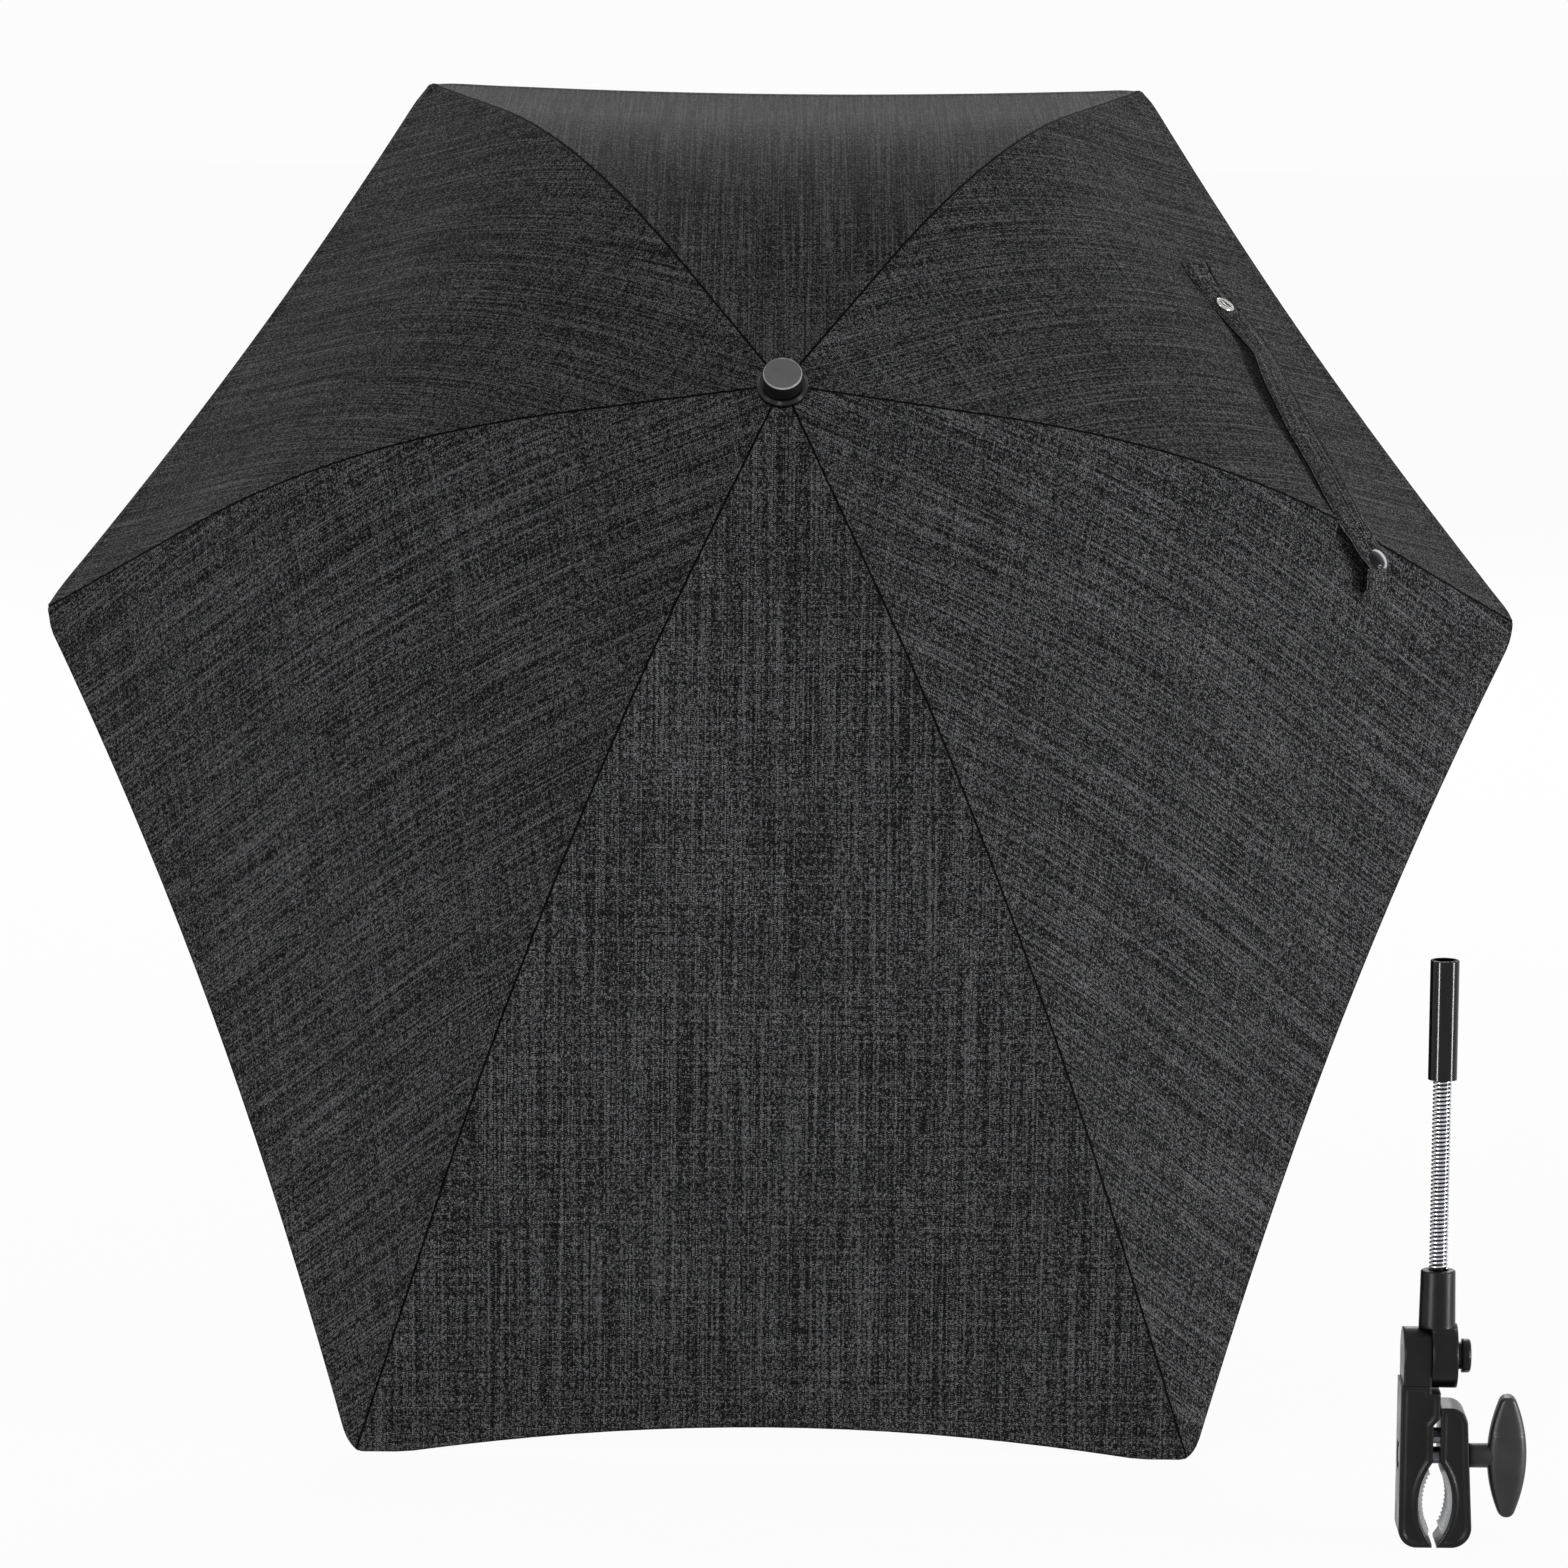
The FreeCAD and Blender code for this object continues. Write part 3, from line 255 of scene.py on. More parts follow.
tubeLacquer = mouldedPlastic("blackLacquer", "#040405", "#070708", 0.13, 0.02, 0.25)  # black mirror
padRubber = mouldedPlastic("greyRubber", "#b4b6b9", "#cccdd0", 0.5, 0.3)  # pale soft teeth in the jaws
stretcherWire = platedMetal("zincPlatedWire", ((0, "#7d8085"), (1, "#9ea1a6")), 0.36)  # grey satin wire
boltSteel = platedMetal("darkZincSteel", ((0, "#505256"), (1, "#6a6c70")), 0.38)  # dim inner steel
snapMetal = platedMetal("nickelPlatedBrass", ((0, "#a4a4a2"), (1, "#c4c4c2")), 0.2)  # bright warm ring
springWire = platedMetal("brightZincWire", (  # glittering coil
    (0, "#a8aaae"), (1, "#d4d5d8")), 0.24, (1, 1, 0.4))
capMetal = platedMetal("blackNickelBrass", (  # dark dome with a painted reflection, bright round its rim
    (0.2, "#242426"), (0.42, "#4a4a4d"), (0.55, "#d0d0d3"), (0.8, "#8a8a8d")), 0.12, byFacing=True)
print("materials made", len(bpy.data.materials))

slotMaterials = {
    "canopy_cloth": melange, "strap_webbing": strapTape, "shaft_steel": shaftCoat, "rib_glassfibre": ribRod,
    "stretcher_steel": stretcherWire, "fittings_plastic": fittingsPlastic, "finial_plastic": finialPlastic,
    "finial_cap_plastic": finialCap, "snap_metal": snapMetal, "holder_plastic": holderPlastic,
    "pad_rubber": padRubber, "spring_steel": springWire, "holder_steel": boltSteel}
for row in frame["record"]["subparts"]:
    nodeMesh = frame["nodes"][row["node"]].data
    nodeMesh.materials.clear()
    nodeMesh.materials.append(slotMaterials[row["material_slot"]])
frame["nodes"]["socket_tube"].data.materials[0] = tubeLacquer


def finishMesh(name, verts, faces, material, uvs=()):
    mesh = bpy.data.meshes.new(name)
    mesh.from_pydata(verts, [], faces)
    for layerName, values in uvs:
        layer = mesh.uv_layers.new(name=layerName)
        for loop in mesh.loops:
            layer.data[loop.index].uv = values[loop.vertex_index]
    mesh.polygons.foreach_set("use_smooth", [True] * len(mesh.polygons))
    mesh.materials.append(material)
    mesh.update()
    piece = bpy.data.objects.new(name, mesh)
    scene.collection.objects.link(piece)
    return piece


def joinMeshes(parts):
    verts, faces = [], []
    for more, moreFaces in parts:
        faces += [tuple(i + len(verts) for i in face) for face in moreFaces]
        verts += more
    return verts, faces


def ringFaces(rings, sides):  # quads between closed rings of points
    faces = []
    for i in range(rings - 1):
        for k in range(sides):
            a, b = i * sides + k, i * sides + (k + 1) % sides
            faces.append((a, b, b + sides, a + sides))
    return faces


def endFaces(count, sides):
    return [tuple(range(sides))[::-1], tuple(range(count - sides, count))]


def sweptTube(path, radius, sides, reference):
    verts = []
    for i, point in enumerate(path):
        way = (path[min(i + 1, len(path) - 1)] - path[max(i - 1, 0)]).normalized()
        out = way.cross(reference).normalized()
        up = out.cross(way)
        for k in range(sides):
            turn = k * math.tau / sides
            verts.append(point + (out * math.cos(turn) + up * math.sin(turn)) * radius)
    return verts, ringFaces(len(path), sides) + endFaces(len(verts), sides)


def lathe(outline, sides):  # radius and height pairs turned round Z
    verts = [Vector((r * math.cos(k * math.tau / sides), r * math.sin(k * math.tau / sides), z))
             for r, z in outline for k in range(sides)]
    return verts, ringFaces(len(outline), sides)


canopy = {
    "azimuths": {"side_right": 0.0, "back_right": 61.5, "back_left": 118.5,
                 "side_left": 180.0, "front_left": 245.5, "front_right": 294.5},
    "pivotRadius": 10.0, "holeRadius": 7.4, "innerSlope": 13.0, "innerRun": 100.0,
    "kneeRadius": 450.0, "kneeRun": 65.0,
    "bendRadius": {"front": 695.0, "side": 385.0, "back": 490.0},
    "outerSlope": {"front": 44.0, "side": 43.0, "back": 40.5},
    "outerRun": {"front": 118.0, "side": 107.0, "back": 112.0},
    "lift": 3.1,                                # outer face above the middle of the rib
    "thickness": 0.6, "floorGap": 0.2,
    "sag": 5.0, "sagPeak": 2.2, "sagEnd": 1.25,  # gores hang in between their ribs
    "hemBow": {"front": 18.5, "front_side": 14.0, "side_back": 10.5, "back": 13.5},
    "tipReach": 6.0, "cornerCut": 5.6, "cornerWidth": 17.0,
    "seamDip": 0.35, "seamDipWidth": 0.6,
    "seamFold": 0.25, "seamFoldWidth": 4.0, "seamFoldEase": 1.2, "seamFoldStart": 0.9,
    "pucker": 0.3, "puckerReach": 15.0, "puckerStart": 3.0, "puckerFree": 40.0,  # none at the crown
    "puckers": ((19.0, 0.6, 1.0, 1.3), (11.97, -0.4, 0.6, 2.1)),  # length, slant, weight, shift
    "hemFold": 7.0, "hemRise": 0.3, "hemEase": 1.4,
    "hemRows": (0, 0.6, 1.6, 3.2, 5.2, 6.4, 7.6, 10, 14, 21),
    "rows": 54,
    "columns": (0, 0.45, 0.9, 1.6, 2.6, 4, 5.5, 8, 12, 17, 24, 33, 44, 57, 72, 90, 110, 132, 156, 180),
    "grainTurn": {"side_left": -17.0, "front_right": 17.0},  # gores cut with the grain along their side seam
    "weaveStep": 3,                             # metres between the gores' weaves
    "keep": 0.07,                               # width left in the folded cloth along the ribs
}
slack = {"foldTurn": 59.0, "keep": 0.5, "rows": 60, "columns": 7, "from": 0.02, "span": 0.955, "most": 0.97,
         "fromHem": 99.0, "edgeMark": (0.02, 0.05)}  # its weave has no seam or hem line
ribNames = list(canopy["azimuths"])
ribRuns = {}
for kind in canopy["bendRadius"]:
    kneeTurn = canopy["kneeRun"] / canopy["kneeRadius"]
    bendTurn = math.radians(canopy["outerSlope"][kind] - canopy["innerSlope"]) - kneeTurn
    ribRuns[kind] = ((canopy["innerRun"], None), (canopy["kneeRun"], canopy["kneeRadius"]),
                     (canopy["bendRadius"][kind] * bendTurn, canopy["bendRadius"][kind]),
                     (canopy["outerRun"][kind], None))
seamStart = -(canopy["pivotRadius"] - canopy["holeRadius"]) / math.cos(math.radians(canopy["innerSlope"]))
seamLength = {name: sum(run for run, radius in ribRuns[name.split("_")[0]]) - seamStart for name in ribNames}


def ribAt(kind, run):  # distance from the shaft, height and downward slope after a run along the rib
    across, height, slope = canopy["pivotRadius"], 0.0, math.radians(canopy["innerSlope"])
    for i, (length, radius) in enumerate(ribRuns[kind]):
        isLast = i == len(ribRuns[kind]) - 1
        step = run if isLast else min(run, length)  # the last run goes on past the rib's end
        run -= step
        if radius is None:
            across += step * math.cos(slope)
            height -= step * math.sin(slope)
        else:
            bent = slope + step / radius
            across += radius * (math.sin(bent) - math.sin(slope))
            height -= radius * (math.cos(slope) - math.cos(bent))
            slope = bent
    return across, height, slope


def seamPoint(name, share):
    across, height, slope = ribAt(name.split("_")[0], seamStart + share * seamLength[name])
    spin = Matrix.Rotation(math.radians(canopy["azimuths"][name]), 3, "Z")
    outward = Vector((math.sin(slope), 0, math.cos(slope)))
    return spin @ (Vector((across, 0, height)) + outward * canopy["lift"]), spin @ outward


def neighbour(name, side):
    return ribNames[(ribNames.index(name) + side) % len(ribNames)]


def clothAt(name, side, share, across):  # point and outward way on a stretched gore, and its width
    own, ownOut = seamPoint(name, share)
    far, farOut = seamPoint(neighbour(name, side), share)
    outward = ownOut.lerp(farOut, across).normalized()
    bowl = 4 * across * (1 - across)
    sag = canopy["sag"] * bowl * max(0, canopy["sagPeak"] * share * (canopy["sagEnd"] - share))
    return own.lerp(far, across) - outward * sag, outward, (far - own).length


def hemShare(name, side, across, apart):
    other = neighbour(name, side)
    length = (seamLength[name] + seamLength[other]) / 2
    kinds = sorted({name.split("_")[0], other.split("_")[0]}, key=["front", "side", "back"].index)
    bow = canopy["hemBow"]["_".join(kinds)]
    corner = canopy["cornerCut"] * max(0, 1 - apart / canopy["cornerWidth"]) ** 2
    return 1 + (canopy["tipReach"] - bow * 4 * across * (1 - across) - corner) / length


def clothHeight(run, apart, fromHem, gore, side):  # puckers, the seam's line and folds, the hem
    wave = 0
    for (length, slant, weight, shift), place in zip(canopy["puckers"], (gore, side)):
        wave += weight * math.sin((run + slant * apart) * math.tau / length + shift * place)
    fade = math.exp(-apart / canopy["puckerReach"]) * smooth(apart / canopy["puckerStart"])
    height = canopy["pucker"] * wave * fade * min(1, run / canopy["puckerFree"])
    height -= canopy["seamDip"] * math.exp(-(apart / canopy["seamDipWidth"]) ** 2)
    height += (canopy["seamFold"] * smooth((canopy["seamFoldWidth"] - apart) / canopy["seamFoldEase"])
               * smooth(apart / canopy["seamFoldStart"]))
    return height + canopy["hemRise"] * smooth((canopy["hemFold"] - fromHem) / canopy["hemEase"])


def clothRows(name, side):  # points, outward ways and both UVs of half a gore, from its hem to the crown
    other = neighbour(name, side)
    length = (seamLength[name] + seamLength[other]) / 2
    first = name if side > 0 else other
    gore = ribNames.index(first)
    grain = Matrix.Rotation(-math.radians(canopy["grainTurn"].get(first, 0)), 2)
    hemRows = canopy["hemRows"]
    widest = canopy["columns"][-1]
    rows = []
    for j in range(canopy["rows"] + len(hemRows)):
        row = []
        for reach in canopy["columns"]:
            share = 1 - j / (canopy["rows"] + len(hemRows))
            for again in range(2):  # the column's place depends on the width at its own share
                width = clothAt(name, side, share, 0)[2] / 2
                apart = width * (1 - math.exp(-reach / width)) / (1 - math.exp(-widest / width))
                across = apart / width / 2
                end = hemShare(name, side, across, apart)
                if j < len(hemRows):
                    share = end - hemRows[j] / length
                else:
                    left = end - hemRows[-1] / length
                    share = left * (1 - (j - len(hemRows) + 1) / canopy["rows"])
            point, outward, chord = clothAt(name, side, share, across)
            fromHem = (end - share) * length
            run = share * length
            height = clothHeight(run, apart, fromHem, gore, side)
            flat = grain @ Vector((run, (across - 0.5) * chord * side)) * mm
            row.append((point + outward * height, outward,
                        (flat.x + canopy["weaveStep"] * gore, flat.y), (apart * mm, fromHem * mm)))
        rows.append(row)
    return rows


def clothHalf(name, side, made):
    verts, faces, weave, edges = made
    rows = clothRows(name, side)
    wide = len(canopy["columns"])
    inner = len(rows) * wide
    for isInner in (0, 1):  # outer face, then the inner one
        start = len(verts)
        for point, outward, uv, edge in sum(rows, []):
            spot = toScene(point - outward * canopy["thickness"] * isInner)
            spot.z = max(spot.z, canopy["floorGap"] * mm)  # the front corners rest on the floor
            verts.append(spot)
            weave.append(uv)
            edges.append(edge)
        for j in range(len(rows) - 1):
            for i in range(wide - 1):
                a = start + j * wide + i
                quad = (a, a + 1, a + wide + 1, a + wide)
                faces.append(quad if (side > 0) == (isInner == 0) else quad[::-1])
    base = len(verts) - 2 * inner
    for i in range(wide - 1):  # the turned hem edge
        quad = (base + i, base + inner + i, base + inner + i + 1, base + i + 1)
        faces.append(quad if side > 0 else quad[::-1])


def foldWithRib(piece, rib):
    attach(piece, "rib_" + rib)
    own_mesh(piece)


def slackLeaf(name):  # loose cloth between folded ribs, inside the stretched cloth until they fold
    fold = math.radians(slack["foldTurn"])
    verts, faces, weave, edges = [], [], [], []
    for j in range(slack["rows"] + 1):
        share = slack["from"] + slack["span"] * j / slack["rows"]
        across, height, slope = ribAt(name.split("_")[0], seamStart + share * seamLength[name])
        folded = (canopy["pivotRadius"] + (across - canopy["pivotRadius"]) * math.cos(fold)
                  + height * math.sin(fold) + canopy["lift"] * math.sin(slope + fold))
        for i in range(-slack["columns"], slack["columns"] + 1):
            side = -1 if i < 0 else 1
            other = neighbour(name, side)
            gap = math.radians((canopy["azimuths"][other] - canopy["azimuths"][name]) * side % 360) / 2
            width = clothAt(name, side, share, 0)[2] / 2
            reach = min(folded * math.tan(gap) / slack["keep"], width * slack["most"])
            apart = reach * abs(i) / slack["columns"]
            run = share * (seamLength[name] + seamLength[other]) / 2
            gore = ribNames.index(name if side > 0 else other)
            point, outward = clothAt(name, side, share, apart / width / 2)[:2]
            depth = clothHeight(run, apart, slack["fromHem"], gore, side) - canopy["thickness"] / 2
            verts.append(toScene(point + outward * depth))
            weave.append((run * mm + canopy["weaveStep"] * gore, (apart - width) * side * mm))
            edges.append(slack["edgeMark"])
    wide = 2 * slack["columns"] + 1
    for j in range(slack["rows"]):
        for i in range(wide - 1):
            a = j * wide + i
            faces.append((a, a + wide, a + wide + 1, a + 1))
    piece = finishMesh("slack_" + name, verts, faces, melange, (("weave", weave), ("edges", edges)))
    foldWithRib(piece, name)


def clothPiece(name):
    made = ([], [], [], [])
    for side in (-1, 1):
        clothHalf(name, side, made)
    verts, faces, weave, edges = made
    cloth = finishMesh("cloth_" + name, verts, faces, melange, (("weave", weave), ("edges", edges)))
    width = sum(clothAt(name, side, 1, 0)[2] / 2 for side in (-1, 1)) * mm
    foldWithRib(cloth, name)
    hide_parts("canopy_" + name)


for name in ribNames:
    clothPiece(name)
    slackLeaf(name)


strap = {
    "route": ((0.797, -0.062), (0.776, -0.026), (0.738, 0.004), (0.744, 0.072), (0.766, 0.165),
              (0.783, 0.265), (0.8055, 0.357), (0.834, 0.440), (0.8345, 0.530), (0.8175, 0.605),
              (0.8205, 0.643)),              # shares along the rib and across the gore
    "routeSteps": 24, "probe": 3.0,
    "width": 18.0, "thickness": 0.9, "gap": 1.1, "edgeRound": 0.3, "edgeThin": 0.5,
    "loop": 27.0, "loopRadius": 2.1, "loopTurn": 2.0, "shift": 7.0,  # the tab end is folded under and sewn
    "loopSections": 12, "loopFadeFrom": 8.0, "loopFadePast": 6.0,
    "arch": 5.5, "archLean": 1.3, "archShift": 2.5,       # the middle stands off the cloth
    "tilts": (-0.5, -2.8, -2.1, -1.2, 0.1, -1.2, -2.2),   # the crown edge's rise at even places along it
    "tiltFrom": 20.0, "tiltEase": (4.0, 24.0),
    "endFold": 13.0, "endFoldEase": 1.5, "endRise": 0.6,
    "step": 2.0, "columns": (0, 2.5, 5, 6.6, 7.2, 7.8, 8.4, 8.85, 9),
    "weaveFrom": 40, "seamFaint": 0.25, "edgeFaint": 0.4, "fromHem": 20.0,
    "stitchPitch": 3.0, "stitchLength": 2.1, "stitchRadius": 0.2, "stitchInset": 1.8, "stitchSides": 6,
    "stitchFrom": 5.0, "stitchTo": 3.0, "stitchBow": 0.12, "stitchSink": 0.05,
    "capAt": 20.0, "socketFromEnd": 27.5,
}
strapHalf = strap["width"] / 2


def strapSpot(share, across):
    return clothAt("side_right", 1 if across >= 0 else -1, share, abs(across))[:2]


def curveThrough(points, steps):  # even steps along a smooth line through the points
    padded = [points[0]] + list(points) + [points[-1]]
    line = []
    for i in range(len(points) - 1):
        a, b, c, d = (Vector(p) for p in padded[i:i + 4])
        for step in range(steps):
            t = step / steps
            line.append(0.5 * (2 * b + (c - a) * t + (2 * a - 5 * b + 4 * c - d) * t * t
                               + (3 * b - a - 3 * c + d) * t ** 3))
    return line + [Vector(points[-1])]


strapSpots = [strapSpot(*spot) for spot in curveThrough(strap["route"], strap["routeSteps"])]
strapRuns = [0.0]
for before, after in zip(strapSpots, strapSpots[1:]):
    strapRuns.append(strapRuns[-1] + (after[0] - before[0]).length)
strapLength = strapRuns[-1]


def strapAt(run):
    i = max(j for j in range(len(strapRuns) - 1) if strapRuns[j] <= max(run, 0))
    t = (run - strapRuns[i]) / (strapRuns[i + 1] - strapRuns[i])
    return strapSpots[i][0].lerp(strapSpots[i + 1][0], t), strapSpots[i][1].lerp(strapSpots[i + 1][1], t)


def strapFrame(run):  # point on the cloth, then the outward, forward and crownward ways
    point, outward = strapAt(run)
    outward.normalize()
    forward = (strapAt(run + strap["probe"])[0] - strapAt(run - strap["probe"])[0]).normalized()
    crownward = outward.cross(forward).normalized()
    if crownward.dot(point) > 0:
        crownward = -crownward
    return point, outward, forward, crownward


def strapTilt(run):
    share = min(max((run - strap["tiltFrom"]) / (strapLength - strap["tiltFrom"]), 0), 1)
    place = share * (len(strap["tilts"]) - 1)
    i = min(int(place), len(strap["tilts"]) - 2)
    low, high = strap["tilts"][i:i + 2]
    easeFrom, easeRun = strap["tiltEase"]
    return (low + (high - low) * smooth(place - i)) * smooth((run - easeFrom) / easeRun)


def strapHeights(run):  # lift of the upper layer's middle, extra lift of its crown edge, and its shift
    share = min(max((run - strap["loop"]) / (strapLength - strap["loop"] - strap["endFold"]), 0), 1)
    arch = math.sin(math.pi * share ** strap["archLean"])
    fade = smooth((run - strap["loopFadeFrom"]) / (strap["loop"] + strap["loopFadePast"]))
    loop = 2 * strap["loopRadius"] * (1 - fade)
    end = strap["endRise"] * smooth((run - strapLength + strap["endFold"]) / strap["endFold"])
    tilt = strapTilt(run)
    lift = strap["gap"] + loop + math.hypot(strap["arch"] * arch, tilt) + end
    return lift, tilt, strap["shift"] + strap["archShift"] * arch


def strapProfile():  # run, height, tilt and shift of each section, from under the tab to the free end
    start, sections = strap["loopTurn"], strap["loopSections"]
    under, upper = [], []
    for i in range(sections + 1):
        run = strap["loop"] - (strap["loop"] - start) * i / sections
        under.append((run, strap["gap"], 0, strap["shift"]))
    for i in range(1, sections):
        turn = math.pi * i / sections
        under.append((start - strap["loopRadius"] * math.sin(turn),
                      strap["gap"] + strap["loopRadius"] * (1 - math.cos(turn)), 0, strap["shift"]))
    steps = int((strapLength - start) / strap["step"])
    for i in range(steps + 1):
        run = start + (strapLength - start) * i / steps
        upper.append((run, *strapHeights(run)))
    return under, upper


def strapFaces(sections, wide):
    faces = []
    for i in range(sections - 1):
        for k in range(wide - 1):
            a = 2 * i * wide + k
            faces.append((a, a + 1, a + 2 * wide + 1, a + 2 * wide))
            a += wide
            faces.append((a, a + 2 * wide, a + 2 * wide + 1, a + 1))
        for k in (0, wide - 1):
            a = 2 * i * wide + k
            quad = (a, a + 2 * wide, a + 3 * wide, a + wide)
            faces.append(quad if k == 0 else quad[::-1])
    for i in (0, sections - 1):
        a = 2 * i * wide
        quads = [(a + k, a + k + 1, a + wide + k + 1, a + wide + k) for k in range(wide - 1)]
        faces += [quad[::-1] for quad in quads] if i == 0 else quads
    return faces


def strapRibbon():  # makes the strap and gives the middle line of its upper layer
    under, upper = strapProfile()
    profile = under + upper
    verts, weave, edges, upperRows = [], [], [], []
    columns = [-apart for apart in reversed(strap["columns"][1:])] + list(strap["columns"])
    tapeRun = 0
    for i, (run, height, tilt, shift) in enumerate(profile):
        point, outward, forward, crownward = strapFrame(run)
        last, following = profile[max(i - 1, 0)], profile[min(i + 1, len(profile) - 1)]
        along, up = following[0] - last[0], following[1] - last[1]
        upward = (outward * along - forward * up).normalized()
        tapeRun += math.hypot(run - last[0], height - last[1])
        doubled = smooth((run - strapLength + strap["endFold"]) / strap["endFoldEase"])
        thick = strap["thickness"] * (1 + doubled)
        for face in (1, -1):
            for apart in columns:
                nearEdge = smooth((abs(apart) - strapHalf + strap["edgeRound"]) / strap["edgeRound"])
                rounding = 1 - strap["edgeThin"] * nearEdge
                spot = point + crownward * (apart + shift) + outward * (height + tilt * apart / strapHalf)
                verts.append(toScene(spot + upward * thick / 2 * face * rounding))
                weave.append((tapeRun * mm + strap["weaveFrom"], apart * mm))
                line = abs(abs(apart) - strapHalf + strap["stitchInset"])  # dark stitch rows and edges
                nearest = min(line + strap["seamFaint"], strapHalf - abs(apart) + strap["edgeFaint"])
                edges.append((nearest * mm, strap["fromHem"] * mm))
        if i >= len(under):
            middle = point + crownward * shift + outward * height
            upperRows.append((run, middle, upward, crownward, outward * tilt / strapHalf))
    faces = strapFaces(len(profile), len(columns))
    piece = finishMesh("strapRibbon", verts, faces, strapTape, (("weave", weave), ("edges", edges)))
    foldWithRib(piece, "side_right")
    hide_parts("strap")
    print("strap", len(verts), "tape", round(tapeRun, 1))
    return upperRows


upperRows = strapRibbon()


def upperAt(run):  # middle of the strap's upper layer, its upward and crownward ways and its tilt
    return min(upperRows, key=lambda row: abs(row[0] - run))[1:]


def strapStitches():
    threads = []
    count = int((strapLength - strap["stitchFrom"] - strap["stitchTo"]) / strap["stitchPitch"])
    for side in (-1, 1):
        apart = side * (strapHalf - strap["stitchInset"])
        for i in range(count):
            run = strap["stitchFrom"] + i * strap["stitchPitch"]
            middle, upward, crownward, tilt = upperAt(run)
            ahead = upperAt(run + strap["stitchLength"])[0]
            path = []
            for t in (0, 0.25, 0.5, 0.75, 1):
                bow = strap["stitchBow"] * math.sin(math.pi * t) - strap["stitchSink"]
                path.append(middle.lerp(ahead, t) + crownward * apart + tilt * apart
                            + upward * (strap["thickness"] / 2 + bow))
            threads.append(sweptTube([toScene(spot) for spot in path], strap["stitchRadius"] * mm,
                                     strap["stitchSides"], turned(upward)))
    stitches = finishMesh("strapStitches", *joinMeshes(threads), fittingsPlastic)
    foldWithRib(stitches, "side_right")
    print("strap stitches", len(threads))


strapStitches()


# Finial cap: a low drum with a rounded edge. Its top is satin, its edge has a painted highlight, its side is
# black.
finial = {"radius": 9.7, "height": 8.4, "edge": 1.3, "sides": 64, "sideRings": 3, "edgeSteps": 8,
          "topShares": (0.95, 0.6, 0.3, 0.001), "band": 2.0, "topFrom": 0.97,
          "bandColours": ((0.45, "#060607"), (0.6, "#98989a"), (0.8, "#98989a"), (0.95, "#545455"))}


def finialTop():
    flange = frame["nodes"]["finial_flange"].data
    flangeTop = max((vert.co - apex).dot(upWay) for vert in flange.vertices) / mm
    straight = finial["height"] - finial["edge"]
    flatRadius = finial["radius"] - finial["edge"]
    rings = finial["sideRings"]
    outline = [(finial["radius"], i * straight / rings) for i in range(rings + 1)]
    for i in range(1, finial["edgeSteps"] + 1):
        turn = math.pi / 2 * i / finial["edgeSteps"]
        outline.append((finial["radius"] + finial["edge"] * (math.cos(turn) - 1),
                        finial["height"] + finial["edge"] * (math.sin(turn) - 1)))
    outline += [(share * flatRadius, finial["height"]) for share in finial["topShares"]]
    verts, faces = lathe(outline, finial["sides"])
    raised = [toScene(vert + Vector((0, 0, flangeTop))) for vert in verts]
    piece = finishMesh("finialTop", raised, faces, finialCap)
    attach(piece, "shaft")
    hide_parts("finial_cap")
    print("finial cap made", round(flangeTop, 2))
    return apex.dot(upWay) + (flangeTop + finial["height"]) * mm


def paintFinial(top):
    tree, target, topColour = baseColour(finialCap)
    place = addNode(tree, "ShaderNodeTexCoord").outputs["Object"]
    height = addNode(tree, "ShaderNodeVectorMath", {0: place, 1: upWay}, operation="DOT_PRODUCT")
    level = mapRange(tree, height.outputs["Value"], top - finial["band"] * mm, top)
    # painted highlight: a bright band round the rounded edge, black side below it, the top's own colour above
    bandColour = colourRamp(tree, level, finial["bandColours"])
    onTop = addNode(tree, "ShaderNodeMath", {0: level, 1: finial["topFrom"]}, operation="GREATER_THAN")
    both = addNode(tree, "ShaderNodeMix", {
        0: onTop.outputs[0], 6: bandColour, 7: topColour}, data_type="RGBA")
    tree.links.new(both.outputs[2], target)


paintFinial(finialTop())


snap = {"radius": 6.2, "sides": 40,
        "rim": ((0.5, 0), (0.1, 0.1), (0, 0.45), (0.15, 0.8), (0.5, 0.9)),  # inset from the radius, height
        "dome": 2.1, "domeInset": 0.7, "domeFrom": 0.8, "domeSteps": 14, "pinhole": 0.001,
        "socketRadius": 5.4, "socketHole": 2.6, "socketHeight": 1.6, "socketSteps": 14,
        "socketFullness": 0.6, "wire": 0.45, "wireSides": 8, "wireSteps": 10,
        "wireApart": 1.2, "wireBow": 0.5, "wireLength": 7.4, "wireHeight": 1.5}


def onStrap(parts, run, name, node, metal, rigid=False):
    middle, upward, crownward, tilt = upperAt(run)
    seat = Matrix((crownward, upward.cross(crownward), upward)).transposed()
    verts, faces = joinMeshes(parts)
    surface = middle + upward * (strap["thickness"] / 2)
    piece = finishMesh(name, [toScene(surface + seat @ vert) for vert in verts], faces, metal)
    if rigid:
        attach(piece, "rib_side_right")
    else:
        foldWithRib(piece, "side_right")
    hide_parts(node)


def snapDome():
    outline = [(snap["radius"] - inset, height) for inset, height in snap["rim"]]
    for i in range(1, snap["domeSteps"] + 1):
        turn = math.pi / 2 * i / snap["domeSteps"]
        outline.append(((snap["radius"] - snap["domeInset"]) * math.cos(turn) + snap["pinhole"],
                        snap["domeFrom"] + snap["dome"] * math.sin(turn)))
    return [lathe(outline, snap["sides"])]


